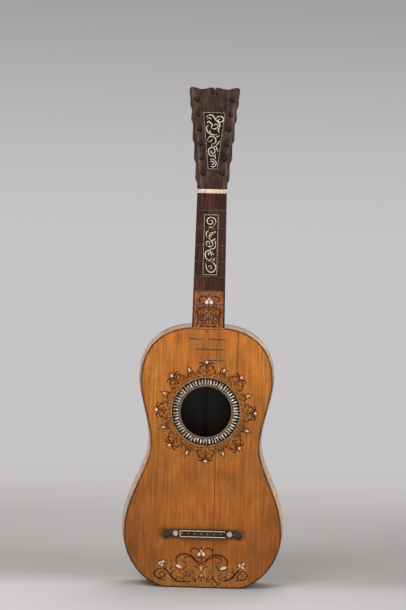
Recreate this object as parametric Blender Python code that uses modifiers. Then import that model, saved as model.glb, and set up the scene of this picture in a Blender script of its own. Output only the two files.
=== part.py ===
# Twelve-string romantic guitar with a flush fingerboard, standing on its tail.
# Metres, +Z up along the neck, soundboard towards -Y, centre line at X = 0.
# The origin is the middle of the flat tail face.
import math
import bmesh
import bpy
from mathutils import Vector
from mathutils.geometry import interpolate_bezier

MM = 0.001
GAP = 0.3 * MM                 # clearance between pieces that touch
CUT_PAST = 1 * MM              # how far a cutter reaches past the face that it opens

# Body plan, with places along the body as shares of its length
BODY_LENGTH = 457 * MM
LOWER_BOUT_WIDTH = 276 * MM
LOWER_BOUT_SHARE = 0.209
WAIST_WIDTH = 189.4 * MM
WAIST_SHARE = 0.546
UPPER_BOUT_WIDTH = 231 * MM
UPPER_BOUT_SHARE = 0.7965
TAIL_FLAT_WIDTH = 124 * MM
SHOULDER_FLAT_WIDTH = 60 * MM
# how far each curve keeps its starting and its ending direction, as shares of its span
TAIL_CURVE = (0.375, 0.586)
HIP_CURVE = (0.418, 0.267)
CHEST_CURVE = (0.324, 0.279)
SHOULDER_CURVE = (0.976, 0.03)

# Body depth and walls
TAIL_DEPTH = 88 * MM
NECK_END_DEPTH = 80 * MM
SOUNDBOARD_THICKNESS = 2.8 * MM
BACK_THICKNESS = 2.6 * MM
RIB_THICKNESS = 2.2 * MM
BINDING_WIDTH = 2.4 * MM
BACK_STRIP_WIDTH = 8 * MM
TAIL_STRIP_WIDTH = 10 * MM

# Blocks, linings and bars inside the body
TAIL_BLOCK_WIDTH = 52 * MM
TAIL_BLOCK_LENGTH = 13 * MM
NECK_BLOCK_WIDTH = 54 * MM
NECK_BLOCK_LENGTH = 26 * MM
LINING_WIDTH = 5 * MM
LINING_DEPTH = 9 * MM
BAR_THICKNESS = 7 * MM
BAR_DEPTH = 14 * MM
BAR_END_DEPTH = 4.5 * MM
BAR_SLOPE = 42 * MM
BAR_FROM_HOLE = 18.5 * MM      # from the edge of the sound hole to the middle of each bar
BACK_BAR_SHARES = (0.153, 0.47, 0.842)

# Sound hole and rosette, radii from the centre
SOUND_HOLE_SHARE = 0.678
SOUND_HOLE_RADIUS = 44 * MM
INNER_RING = (46.0 * MM, 47.4 * MM)
TILE_GROUND = (47.7 * MM, 58.8 * MM)
TILE_BAND = (48.6 * MM, 57.0 * MM)
OUTER_RING = (59.1 * MM, 61.0 * MM)
ROSETTE_DEPTH = 1.5 * MM
TILE_STAND = 0.5 * MM          # tiles stand above the sunk mastic, level with the face
TILE_COUNT = 64
TILE_SHARE = 0.62              # share of each pitch that is pearl

# Strings (left off this instrument): the lengths that place nut, frets and bridge
STRING_LENGTH = 594 * MM
BODY_JOINT_FRET_COUNT = 9      # the fret that lies on the joint of neck and body
JOINT_FRET_DROP = 2.8 * MM     # how far it lies inside the body
COURSE_COUNT = 6
COURSE_SPREAD_AT_NUT = 42 * MM
PAIR_SPACING = 2.7 * MM

# Bridge
BRIDGE_LENGTH = 135.6 * MM
BRIDGE_WIDTH = 13.4 * MM
BRIDGE_BASE_THICKNESS = 2.8 * MM
BRIDGE_CENTRE_DROP = 5 * MM    # from the string line down to the middle of the bridge
TIE_BLOCK_FROM_ROUNDEL = 6 * MM
TIE_BLOCK_HEIGHT = 7.6 * MM
TIE_BLOCK_MARGIN = 0.5 * MM
STRING_HOLE_RADIUS = 0.8 * MM
STRING_HOLE_SIDES = 6
STRING_HOLE_SHARE = 0.62       # height of the holes as a share of the tie block
# the drooping, curled right end: shares of the end's length and of half the bridge's width
MOUSTACHE = ((0, -1), (0.26, -0.84), (0.5, -0.9), (0.7, -1.38), (0.9, -1.34), (1, -0.66),
             (0.97, 0.08), (0.76, 0.74), (0.46, 0.98), (0.2, 0.8), (0, 1))
EDGING_MARGIN = 1.5 * MM       # from the end of the tie block
EDGING_OUTER_WIDTH = 11 * MM
EDGING_STRIP_WIDTH = 2.2 * MM
EDGING_THICKNESS = 0.8 * MM
COURSE_PITCH = 11.3 * MM
ROUNDEL_RADIUS = 4.8 * MM
ROUNDEL_FROM_END = 20.8 * MM
ROUNDEL_THICKNESS = 1.0 * MM
BOSS_RADIUS = 5.8 * MM
BOSS_HEIGHT = 4.6 * MM

# Neck, flush fingerboard and heel
NECK_WIDTH_AT_NUT = 51.2 * MM
NECK_WIDTH_AT_BODY = 56.8 * MM
NECK_DEPTH = 21 * MM
BOARD_THICKNESS = 3 * MM
BOARD_EDGE_WIDTH = 2.5 * MM
NUT_LENGTH = 7 * MM
NUT_STAND = 2.4 * MM
NUT_OVERHANG = 0.3 * MM
NUT_SLOT_WIDTH = 0.8 * MM
NUT_SLOT_DEPTH = 1.0 * MM
NECK_ROUNDNESS = 0.82          # power of the section's curve: 1 is a half ellipse, less is squarer
NECK_SWELL = 1 * MM            # the neck deepens by this in its middle and again at the heel
NECK_MIDDLE_SHARE = 0.6
# under the nut: distance from it, share of the change to the neck's depth, roundness
NECK_NUT_END = ((0, 0, 0.3), (6 * MM, 0, 0.4), (16 * MM, 0.5, 0.62), (30 * MM, 1, 0.8))
NECK_SIDE_STEPS = 5
NECK_BACK_STEPS = 4
NECK_SIDE_ARC = 64             # degrees of each side of the section, the rest being its back
HEEL_LENGTH = 58 * MM
HEEL_STEPS = 7
HEEL_CAP_WIDTH = 26 * MM
HEEL_CAP_LENGTH = 15 * MM
HEEL_CAP_THICKNESS = 2.6 * MM
HEEL_CAP_TURNS = (72, 50, 25, 0)   # degrees round the cap's edge at which the heel has sections
FRET_WIDTH = 1.3 * MM
FRET_STAND = 0.9 * MM
FRET_CROWN = 0.55              # width of the crown as a share of the foot
NECK_FRET_COUNT = 8
BOARD_FRET_COUNT = 6

# Head, sizes along and across its sloping face
HEAD_TILT = 10
HEAD_LENGTH = 174.5 * MM
HEAD_CORE_THICKNESS = 12.6 * MM
VENEER_THICKNESS = 3 * MM
HEAD_FOOT_WIDTH = 52.4 * MM
HEAD_TOP_WIDTH = 86 * MM
SCALLOP_PEAKS = (20 * MM, 53.5 * MM, 87.5 * MM, 122.5 * MM, 147 * MM)
SCALLOP_STEP = 8 * MM
SCALLOP_RISE = 1.7 * MM
SCALLOP_DIP = 0.85 * MM
EAR_WIDTH = 13 * MM
EAR_RISE = 3.6 * MM
EAR_FOOT = 16 * MM             # below the top edge
EAR_CORNER = 4 * MM            # below the tip of the ear
TOP_BUMP_OFFSET = 6.5 * MM
TOP_BUMP_RISE = 3.2 * MM
TOP_SCOOP_OFFSET = 23 * MM
TOP_NOTCH_DEPTH = 3.4 * MM
HEAD_FOOT_OVERLAP = 3 * MM     # the head's blank runs this far past the foot, then is cut square
SEAT_CUT_REACH = 60 * MM
CORD_HOLE_RADIUS = 1.4 * MM
CORD_HOLE_SIDES = 8
CORD_HOLE_OFFSET = 3.6 * MM
CORD_HOLE_FROM_TOP = 9.5 * MM

# Inlay panels
PANEL_DEPTH = 2 * MM
PANEL_FRAME_WIDTH = 1.1 * MM
PANEL_GROUND_THICKNESS = 0.8 * MM
BOARD_PANEL_WIDTH = 25 * MM
BOARD_PANEL_FROM_END = 28 * MM     # from the lower end of the fingerboard
BOARD_PANEL_FROM_NUT = 37 * MM
HEAD_PANEL_FOOT = 34.8 * MM
HEAD_PANEL_TOP = 134.3 * MM
HEAD_PANEL_FOOT_WIDTH = 17 * MM
HEAD_PANEL_TOP_WIDTH = 38 * MM
CURL_STEPS = 13
CURL_WIDTH = 2.2 * MM
CURL_END_SHARE = 0.24          # radius at the eye of a curl against the radius at its start
LEAF_WIDTH = 2.0 * MM
LEAF_STEPS = 3
LEAF_END_SHARE = 0.3           # width of a leaf at its ends against its middle
# each curl: place across and along the panel, radius (shares), angles of its start and its sweep
BOARD_CURLS = ((0.06, 0.105, 0.72, 140, 470), (-0.16, 0.325, 0.70, -60, -470),
               (-0.34, 0.53, 0.52, 60, -450), (0.1, 0.665, 0.64, 50, 420),
               (-0.06, 0.905, 0.72, -60, 470))
HEAD_CURLS = ((0, 0.11, 0.62, 150, -450), (-0.1, 0.3, 0.62, 90, 450), (-0.14, 0.5, 0.56, 190, -430),
              (0.2, 0.76, 0.38, 10, 430), (-0.44, 0.9, 0.36, 0, 430), (0.48, 0.9, 0.36, 180, -430))
# each leaf: places across and along the panel (shares) that its middle line runs through
BOARD_LEAVES = (((0.25, 0.185), (0.5, 0.22), (0.76, 0.27)), ((-0.45, 0.42), (0.1, 0.43), (0.6, 0.45)),
                ((0.45, 0.575), (0.74, 0.53), (0.66, 0.47)), ((-0.6, 0.775), (0, 0.795), (0.66, 0.78)))
HEAD_LEAVES = (((-0.7, 0.83), (-0.74, 0.72), (-0.3, 0.635), (0.5, 0.61)),
               ((0.8, 0.53), (0.4, 0.44), (0.74, 0.35)), ((0.72, 0.82), (0.78, 0.74), (0.7, 0.68)))

# Tuning pegs
PEG_ROWS = 6
PEG_FIRST_ROW = 28.1 * MM
PEG_ROW_PITCH = 25.7 * MM
PEG_FIRST_OFFSET = 16.4 * MM
PEG_OFFSET_STEP = 2.98 * MM
PEG_TIP_RADIUS = 3.0 * MM
PEG_BACK_RADIUS = 3.6 * MM
PEG_TIP_STAND = 6.5 * MM
PEG_CLEARANCE = 0.25 * MM
PEG_COLLAR_RADIUS = 5 * MM
PEG_COLLAR_LENGTH = 2.4 * MM
PEG_STEM_RADIUS = 3 * MM
PEG_STEM_LENGTH = 3.5 * MM
PEG_BUTTON_WIDTH = 18.5 * MM
PEG_BUTTON_THICKNESS = 7.5 * MM
PEG_BUTTON_LENGTH = 17 * MM
PEG_COLLAR_CLEARANCE = 1.2 * MM
PEG_TIP_BEVEL = 1 * MM
# the flattened grip: shares of its width, thickness and length
PEG_GRIP = ((0.62, 0.95, 0.18), (1, 1, 0.5), (0.8, 0.86, 0.84), (0.32, 0.4, 1))
PEG_TIP_SHARE = 0.82
PEG_SIDES = 10

LOWER_BOUT_HEIGHT = LOWER_BOUT_SHARE * BODY_LENGTH
WAIST_HEIGHT = WAIST_SHARE * BODY_LENGTH
UPPER_BOUT_HEIGHT = UPPER_BOUT_SHARE * BODY_LENGTH
SOUND_HOLE_HEIGHT = SOUND_HOLE_SHARE * BODY_LENGTH
FRONT = -TAIL_DEPTH / 2        # plane of the soundboard's face
NUT_CREST_HEIGHT = BODY_LENGTH - JOINT_FRET_DROP + STRING_LENGTH * (1 - 2 ** (-BODY_JOINT_FRET_COUNT / 12))
STRING_LINE = NUT_CREST_HEIGHT - STRING_LENGTH
NUT_TOP = NUT_CREST_HEIGHT + NUT_LENGTH / 2
NUT_FOOT = NUT_CREST_HEIGHT - NUT_LENGTH / 2
HEAD_FOOT = NUT_TOP + GAP
BRIDGE_MIDDLE = STRING_LINE - BRIDGE_CENTRE_DROP
ROUNDEL_OFFSET = BRIDGE_LENGTH / 2 - ROUNDEL_FROM_END
TIE_BLOCK_HALF = ROUNDEL_OFFSET - TIE_BLOCK_FROM_ROUNDEL
CIRCLE_STEPS = 48
SMALL_CIRCLE_STEPS = 24
SHARP_ANGLE = 40
FLAT_ANGLE = 0.05
WELD_DISTANCE = 0.001 * MM
OUTLINE_STEPS = 3              # steps from one given point of a drawn outline to the next

for old in list(bpy.data.objects):
    bpy.data.objects.remove(old, do_unlink=True)

guitar = bpy.data.collections.new("twelve_string_guitar")
cutters = bpy.data.collections.new("cutters")
bpy.context.scene.collection.children.link(guitar)
bpy.context.scene.collection.children.link(cutters)


# Materials

def wood_or_bone(name, colour, roughness):
    made = bpy.data.materials.new(name)
    made.use_nodes = True
    shader = made.node_tree.nodes["Principled BSDF"]
    shader.inputs["Base Color"].default_value = (*colour, 1)
    shader.inputs["Roughness"].default_value = roughness
    shader.inputs["Metallic"].default_value = 0
    made.diffuse_color = (*colour, 1)
    return made


SPRUCE = wood_or_bone("varnished_spruce", (0.52, 0.22, 0.055), 0.4)
RIB_WOOD = wood_or_bone("rib_maple", (0.60, 0.36, 0.20), 0.4)
BACK_WOOD = wood_or_bone("back_maple", (0.42, 0.20, 0.09), 0.4)
DARK_EDGE = wood_or_bone("binding_rosewood", (0.055, 0.022, 0.012), 0.45)
LIGHT_EDGE = wood_or_bone("holly_line", (0.40, 0.24, 0.13), 0.5)
ROSEWOOD = wood_or_bone("fingerboard_rosewood", (0.06, 0.02, 0.014), 0.4)
HEAD_WOOD = wood_or_bone("head_rosewood", (0.07, 0.042, 0.034), 0.5)
NECK_WOOD = wood_or_bone("neck_cedar", (0.17, 0.07, 0.035), 0.5)
BLOCK_WOOD = wood_or_bone("inner_pine", (0.60, 0.42, 0.24), 0.7)
EBONY = wood_or_bone("ebony", (0.018, 0.014, 0.012), 0.4)
MASTIC = wood_or_bone("black_mastic", (0.02, 0.014, 0.01), 0.6)
BONE = wood_or_bone("bone", (0.85, 0.74, 0.55), 0.4)
PEARL = wood_or_bone("mother_of_pearl", (0.82, 0.79, 0.74), 0.2)
BRASS = wood_or_bone("fret_brass", (0.30, 0.24, 0.18), 0.35)
PEG_WOOD = wood_or_bone("peg_boxwood", (0.05, 0.026, 0.018), 0.4)


# Shared making functions

def empty_at(name, location, tilt):
    made = bpy.data.objects.new(name, None)
    made.location = location
    made.rotation_euler.x = tilt
    guitar.objects.link(made)
    return made


def mesh_object(name, mesh, material, parent=None, home=None):
    made = bpy.data.objects.new(name, mesh)
    if material:
        mesh.materials.clear()
        mesh.materials.append(material)
    (home or guitar).objects.link(made)
    made.parent = parent
    return made


def hide_cutter(cutter):
    cutter.hide_render = True
    cutter.display_type = "WIRE"


def flat_piece(name, loops, bottom, top, material, parent, home=None):
    # A sheet cut to outlines in the parent's XY plane, between two levels above it.
    curve = bpy.data.curves.new(name, "CURVE")
    curve.dimensions = "2D"
    curve.fill_mode = "BOTH"
    curve.extrude = (top - bottom) / 2
    for loop in loops:
        spline = curve.splines.new("POLY")
        spline.points.add(len(loop) - 1)
        for point, place in zip(spline.points, loop):
            point.co = (place[0], place[1], 0, 1)
        spline.use_cyclic_u = True
    drawn = bpy.data.objects.new(name + "_outline", curve)
    guitar.objects.link(drawn)
    drawn.parent = parent
    drawn.location.z = (top + bottom) / 2
    bpy.context.view_layer.update()
    shaped = bpy.data.meshes.new_from_object(drawn.evaluated_get(bpy.context.evaluated_depsgraph_get()))
    shaped.transform(drawn.matrix_world)
    weld(shaped)
    bpy.data.objects.remove(drawn, do_unlink=True)
    shaped.name = name
    if home is not cutters:
        shade(shaped)
    made = mesh_object(name, shaped, material, home=home)
    if home is cutters:
        hide_cutter(made)
    return made


def shade(mesh):
    # Smooth round the curves, crisp at the arrises; the flat faces stay flat.
    mesh.shade_smooth()
    mesh.set_sharp_from_angle(angle=math.radians(SHARP_ANGLE))
    for face in mesh.polygons:
        face.use_smooth = len(face.vertices) == 4


def weld(mesh):
    # Close the seams and make each flat face one face.
    work = bmesh.new()
    work.from_mesh(mesh)
    bmesh.ops.remove_doubles(work, verts=work.verts, dist=WELD_DISTANCE)
    bmesh.ops.dissolve_limit(work, angle_limit=math.radians(FLAT_ANGLE), verts=work.verts, edges=work.edges)
    bmesh.ops.recalc_face_normals(work, faces=work.faces)
    work.to_mesh(mesh)
    work.free()


def block(name, low, high, material, parent=None, home=None):
    # A squared piece between two corners.
    work = bmesh.new()
    bmesh.ops.create_cube(work, size=1)
    middle = (Vector(low) + Vector(high)) / 2
    size = Vector(high) - Vector(low)
    bmesh.ops.scale(work, vec=size, verts=work.verts)
    bmesh.ops.translate(work, vec=middle, verts=work.verts)
    mesh = bpy.data.meshes.new(name)
    work.to_mesh(mesh)
    work.free()
    made = mesh_object(name, mesh, material, parent, home)
    if home is cutters:
        hide_cutter(made)
    return made


def combine(target, tool, operation):
    step = target.modifiers.new(operation.lower() + "_" + tool.name, "BOOLEAN")
    step.operation = operation
    step.solver = "EXACT"
    step.object = tool


def cut(target, tool):
    combine(target, tool, "DIFFERENCE")


def circle(x, y, radius, steps=CIRCLE_STEPS):
    turn = 2 * math.pi / steps
    return [(x + radius * math.cos(turn * i), y + radius * math.sin(turn * i)) for i in range(steps)]


def mirrored_loop(right_side):
    # A closed outline from its right-hand side, listed from the bottom to the top.
    left_side = [(-x, y) for x, y in reversed(right_side) if x > 0]
    return right_side + left_side


def bezier(start, start_handle, end_handle, end, steps):
    points = interpolate_bezier(Vector(start), Vector(start_handle), Vector(end_handle), Vector(end), steps + 1)
    return [(p.x, p.y) for p in points][1:]


def swept(start, end, fullness, level_ends, steps):
    # A curve that leaves and arrives either level or upright.
    across, up = end[0] - start[0], end[1] - start[1]
    first, last = fullness
    start_handle = (start[0] + first * across, start[1]) if level_ends[0] else (start[0], start[1] + first * up)
    end_handle = (end[0] - last * across, end[1]) if level_ends[1] else (end[0], end[1] - last * up)
    return bezier(start, start_handle, end_handle, end, steps)


def smooth_through(points, steps):
    # A smooth line through a few points, as a Catmull-Rom spline.
    line = [points[0]]
    for i in range(len(points) - 1):
        here, there = Vector(points[i]), Vector(points[i + 1])
        before = Vector(points[i - 1]) if i else here
        after = Vector(points[i + 2]) if i + 2 < len(points) else there
        line += bezier(here, here + (there - before) / 6, there - (after - here) / 6, there, steps)
    return line


# Body plan, as the right-hand half from the tail to the neck

def half_outline():
    tail = (TAIL_FLAT_WIDTH / 2, 0)
    lower = (LOWER_BOUT_WIDTH / 2, LOWER_BOUT_HEIGHT)
    waist = (WAIST_WIDTH / 2, WAIST_HEIGHT)
    upper = (UPPER_BOUT_WIDTH / 2, UPPER_BOUT_HEIGHT)
    shoulder = (SHOULDER_FLAT_WIDTH / 2, BODY_LENGTH)
    line = [(0, 0), tail]
    line += swept(tail, lower, TAIL_CURVE, (True, False), 9)
    line += swept(lower, waist, HIP_CURVE, (False, False), 9)
    line += swept(waist, upper, CHEST_CURVE, (False, False), 7)
    line += swept(upper, shoulder, SHOULDER_CURVE, (False, True), 10)
    line.append((0, BODY_LENGTH))
    return line


def inset(line, distance):
    # The half outline moved inwards by an even distance.
    moved = []
    for i, (x, y) in enumerate(line):
        before = Vector(line[i]) - Vector(line[i - 1]) if i else Vector((1, 0))
        after = Vector(line[i + 1]) - Vector(line[i]) if i + 1 < len(line) else Vector((-1, 0))
        inward_a = Vector((-before.y, before.x)).normalized()
        inward_b = Vector((-after.y, after.x)).normalized()
        inward = (inward_a + inward_b).normalized()
        reach = distance / inward.dot(inward_a)
        moved.append((x + inward.x * reach, y + inward.y * reach))
    return moved


def between_flats(line, tail_x, top_x):
    # The stretch of a half outline that starts tail_x from the centre and ends top_x from it.
    return [(tail_x, line[0][1])] + line[1:-1] + [(top_x, line[-1][1])]


def half_width(line, height):
    for (x0, y0), (x1, y1) in zip(line[1:], line[2:]):
        if y0 <= height <= y1:
            return x0 + (x1 - x0) * (height - y0) / (y1 - y0)
    return 0


def back_at(height):
    # The back leans in towards the neck.
    neck_y = FRONT + NECK_END_DEPTH
    tail_y = FRONT + TAIL_DEPTH
    return tail_y + (neck_y - tail_y) * height / BODY_LENGTH


OUTLINE = half_outline()
PLATE_OUTLINE = inset(OUTLINE, BINDING_WIDTH + GAP)
LINING_OUTLINE = inset(OUTLINE, RIB_THICKNESS + GAP)
INNER_OUTLINE = inset(OUTLINE, RIB_THICKNESS + GAP + LINING_WIDTH + GAP)
RIB_FRONT = FRONT + SOUNDBOARD_THICKNESS + GAP
BACK_INSET = BACK_THICKNESS + GAP

front_plane = empty_at("front_plane", (0, FRONT, 0), math.radians(90))
lean = math.atan2(TAIL_DEPTH - NECK_END_DEPTH, BODY_LENGTH)
back_plane = empty_at("back_plane", (0, back_at(0), 0), math.radians(90) + lean)
head_plane = empty_at("head_plane", (0, FRONT, HEAD_FOOT), math.radians(90 - HEAD_TILT))


def bent_strip(name, line, front, back, thickness, material, closed=False):
    # A strip bent along a line of the body plan, its walls thickened inwards.
    work = bmesh.new()
    rows = []
    for x, height in line:
        rows.append((work.verts.new((x, front(height), height)), work.verts.new((x, back(height), height))))
    if closed:
        rows.append(rows[0])
    for (a, b), (c, d) in zip(rows, rows[1:]):
        work.faces.new((a, b, d, c))
    mesh = bpy.data.meshes.new(name)
    work.to_mesh(mesh)
    work.free()
    sheet = mesh_object(name, mesh, material)
    wall = sheet.modifiers.new("wall", "SOLIDIFY")
    wall.thickness = thickness
    wall.offset = -1
    wall.use_even_offset = True
    bpy.context.view_layer.update()
    walled = bpy.data.meshes.new_from_object(sheet.evaluated_get(bpy.context.evaluated_depsgraph_get()))
    sheet.modifiers.clear()
    sheet.data = walled
    walled.shade_smooth()
    walled.set_sharp_from_angle(angle=math.radians(SHARP_ANGLE))


def level(value):
    return lambda height: value


# Soundboard with its sound hole and rosette

def make_soundboard():
    tongue = NECK_WIDTH_AT_BODY / 2
    right = PLATE_OUTLINE[1:-1] + [(tongue, PLATE_OUTLINE[-1][1]), (tongue, BODY_LENGTH)]
    hole = circle(0, SOUND_HOLE_HEIGHT, SOUND_HOLE_RADIUS)
    board = flat_piece("soundboard", [mirrored_loop(right), hole], -SOUNDBOARD_THICKNESS, 0,
                       SPRUCE, front_plane)
    channel = [circle(0, SOUND_HOLE_HEIGHT, OUTER_RING[1] + GAP),
               circle(0, SOUND_HOLE_HEIGHT, INNER_RING[0] - GAP)]
    cut(board, flat_piece("rosette_channel", channel, -ROSETTE_DEPTH - GAP, CUT_PAST, None,
                          front_plane, cutters))


def ring(name, radii, bottom, top, material, home=None):
    loops = [circle(0, SOUND_HOLE_HEIGHT, radii[1]), circle(0, SOUND_HOLE_HEIGHT, radii[0])]
    return flat_piece(name, loops, bottom, top, material, front_plane, home)


def tile_loops():
    # One wedge for each pearl tile.
    loops = []
    pitch = 2 * math.pi / TILE_COUNT
    for i in range(TILE_COUNT):
        corners = []
        for radius, side in ((TILE_BAND[0], -1), (TILE_BAND[1], -1), (TILE_BAND[1], 1), (TILE_BAND[0], 1)):
            angle = pitch * (i + 0.5) + side * pitch * TILE_SHARE / 2
            corners.append((radius * math.sin(angle), SOUND_HOLE_HEIGHT + radius * math.cos(angle)))
        loops.append(corners)
    return loops


def make_rosette():
    ring("rosette_inner_ring", INNER_RING, -ROSETTE_DEPTH, 0, LIGHT_EDGE)
    ring("rosette_outer_ring", OUTER_RING, -ROSETTE_DEPTH, 0, LIGHT_EDGE)
    tiled = ring("rosette_tiles", TILE_GROUND, -ROSETTE_DEPTH, -TILE_STAND, MASTIC)
    combine(tiled, flat_piece("tiles", tile_loops(), -TILE_STAND * 2, 0, PEARL, front_plane, cutters), "UNION")


# Ribs, back, bindings and linings

def make_case():
    rib_front = level(RIB_FRONT)
    sides = (("right", 1), ("left", -1))
    for side, sign in sides:
        rib_line = between_flats(OUTLINE, TAIL_STRIP_WIDTH / 2 + GAP, GAP / 2)
        lining_line = between_flats(LINING_OUTLINE, TAIL_BLOCK_WIDTH / 2 + GAP, NECK_BLOCK_WIDTH / 2 + GAP)
        for name, line, front, back, thickness, material in (
            ("rib_" + side, rib_line, rib_front, lambda h: back_at(h) - BACK_INSET,
             RIB_THICKNESS, RIB_WOOD),
            ("lining_front_" + side, lining_line, rib_front, level(RIB_FRONT + LINING_DEPTH),
             LINING_WIDTH, BLOCK_WOOD),
            ("lining_back_" + side, lining_line, lambda h: back_at(h) - BACK_INSET - LINING_DEPTH,
             lambda h: back_at(h) - BACK_INSET, LINING_WIDTH, BLOCK_WOOD),
        ):
            points = [(sign * x, y) for x, y in line]
            if sign < 0:
                points.reverse()
            bent_strip(name, points, front, back, thickness, material)
        plate_line = between_flats(PLATE_OUTLINE, BACK_STRIP_WIDTH / 2 + GAP, BACK_STRIP_WIDTH / 2 + GAP)
        flat_piece("back_" + side, [[(sign * x, y) for x, y in plate_line]], 0, BACK_THICKNESS,
                   BACK_WOOD, back_plane)
    strip_x = BACK_STRIP_WIDTH / 2
    low, high = PLATE_OUTLINE[0][1], PLATE_OUTLINE[-1][1]
    strip = [(-strip_x, low), (strip_x, low), (strip_x, high), (-strip_x, high)]
    flat_piece("back_strip", [strip], 0, BACK_THICKNESS, DARK_EDGE, back_plane)

    full_loop = mirrored_loop(OUTLINE[1:-1])
    bent_strip("binding_back", full_loop, lambda h: back_at(h) - BACK_THICKNESS, back_at,
               BINDING_WIDTH, DARK_EDGE, closed=True)
    neck_side = NECK_WIDTH_AT_BODY / 2 + GAP
    right = OUTLINE[1:-1] + [(neck_side, BODY_LENGTH)]
    left = [(-x, y) for x, y in reversed(right)]
    bent_strip("binding_front", left + right, level(FRONT), level(FRONT + SOUNDBOARD_THICKNESS),
               BINDING_WIDTH, DARK_EDGE)
    block("tail_strip", (-TAIL_STRIP_WIDTH / 2, RIB_FRONT, 0),
          (TAIL_STRIP_WIDTH / 2, back_at(RIB_THICKNESS) - BACK_INSET, RIB_THICKNESS), DARK_EDGE)


# Blocks and bars

def make_frame():
    block_front = RIB_FRONT
    tail_low = RIB_THICKNESS + GAP
    tail_high = tail_low + TAIL_BLOCK_LENGTH
    block("tail_block", (-TAIL_BLOCK_WIDTH / 2, block_front, tail_low),
          (TAIL_BLOCK_WIDTH / 2, back_at(tail_high) - BACK_INSET, tail_high), BLOCK_WOOD)
    neck_high = BODY_LENGTH - RIB_THICKNESS - GAP
    block("neck_block", (-NECK_BLOCK_WIDTH / 2, block_front, neck_high - NECK_BLOCK_LENGTH),
          (NECK_BLOCK_WIDTH / 2, back_at(neck_high) - BACK_INSET, neck_high), BLOCK_WOOD)
    for name, side in (("upper", 1), ("lower", -1)):
        height = SOUND_HOLE_HEIGHT + side * (SOUND_HOLE_RADIUS + BAR_FROM_HOLE)
        bar("soundboard_bar_" + name, height, RIB_FRONT, 1)
    for i, place in enumerate(BACK_BAR_SHARES):
        height = place * BODY_LENGTH
        flat_back = back_at(height + BAR_THICKNESS / 2) - BACK_INSET
        bar("back_bar_%d" % (i + 1), height, flat_back, -1)


def bar(name, height, glued_y, into):
    # A cross bar, deep in the middle and planed down towards both ends.
    reach = min(half_width(INNER_OUTLINE, height + side * BAR_THICKNESS / 2) for side in (-1, 1))
    profile = [(-reach, 0), (reach, 0), (reach, BAR_END_DEPTH), (reach - BAR_SLOPE, BAR_DEPTH),
               (-reach + BAR_SLOPE, BAR_DEPTH), (-reach, BAR_END_DEPTH)]
    holder = empty_at(name + "_place", (0, glued_y, height), 0)
    loop = [(x, into * depth) for x, depth in profile]
    flat_piece(name, [loop], -BAR_THICKNESS / 2, BAR_THICKNESS / 2, BLOCK_WOOD, holder)


# Neck and heel

def neck_half_width(height):
    share = (height - BODY_LENGTH) / (NUT_TOP - BODY_LENGTH)
    return (NECK_WIDTH_AT_BODY + (NECK_WIDTH_AT_NUT - NECK_WIDTH_AT_BODY) * share) / 2


NECK_FRONT = FRONT + BOARD_THICKNESS + GAP


def neck_section(height, depth, roundness, flat_half=0):
    # Half of a rounded section, from the front right edge round the back to the front left.
    # Where the back is planed flat, the edges of the flat are points of the section.
    half = neck_half_width(height)
    turn = math.acos(flat_half / half) if flat_half else math.radians(NECK_SIDE_ARC)
    angles = [turn * i / NECK_SIDE_STEPS for i in range(NECK_SIDE_STEPS)]
    angles += [turn + (math.pi - 2 * turn) * i / NECK_BACK_STEPS for i in range(NECK_BACK_STEPS)]
    angles += [math.pi - turn * i / NECK_SIDE_STEPS for i in range(NECK_SIDE_STEPS, -1, -1)]
    full = depth / math.sin(turn) if flat_half else depth
    points = []
    for angle in angles:
        across, deep = math.cos(angle), math.sin(angle)
        x = half * math.copysign(abs(across) ** roundness, across)
        y = NECK_FRONT + min(depth, full * abs(deep) ** roundness)
        points.append((x, y, height))
    return points


def neck_sections():
    # From the nut down to the joint with the body: plain neck, sweep of the heel, flat for its cap.
    joint = BODY_LENGTH + GAP
    head_thickness = (VENEER_THICKNESS + GAP + HEAD_CORE_THICKNESS) / math.cos(math.radians(HEAD_TILT))
    end_depth = head_thickness - BOARD_THICKNESS - GAP
    plain_depth = NECK_DEPTH - BOARD_THICKNESS
    sections = []
    for below, share, roundness in NECK_NUT_END:
        depth = end_depth + (plain_depth - end_depth) * share
        sections.append(neck_section(NUT_TOP - below, depth, roundness))
    middle = joint + (NUT_TOP - joint) * NECK_MIDDLE_SHARE
    sections.append(neck_section(middle, plain_depth + NECK_SWELL, NECK_ROUNDNESS))
    heel_depth = back_at(BODY_LENGTH) - HEEL_CAP_THICKNESS - GAP - NECK_FRONT
    neck_depth = plain_depth + 2 * NECK_SWELL
    heel_top = joint + HEEL_LENGTH
    sweep = HEEL_LENGTH - HEEL_CAP_LENGTH
    for i in range(HEEL_STEPS + 1):
        share = i / HEEL_STEPS
        angle = math.radians(90) * share
        depth = heel_depth - (heel_depth - neck_depth) * math.cos(angle)
        roundness = NECK_ROUNDNESS + (1 - NECK_ROUNDNESS) * share
        sections.append(neck_section(heel_top - sweep * math.sin(angle), depth, roundness))
    for turn in HEEL_CAP_TURNS:
        angle = math.radians(turn)
        flat_half = HEEL_CAP_WIDTH / 2 * math.cos(angle)
        sections.append(neck_section(joint + HEEL_CAP_LENGTH * math.sin(angle), heel_depth, 1, flat_half))
    return sections


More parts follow.
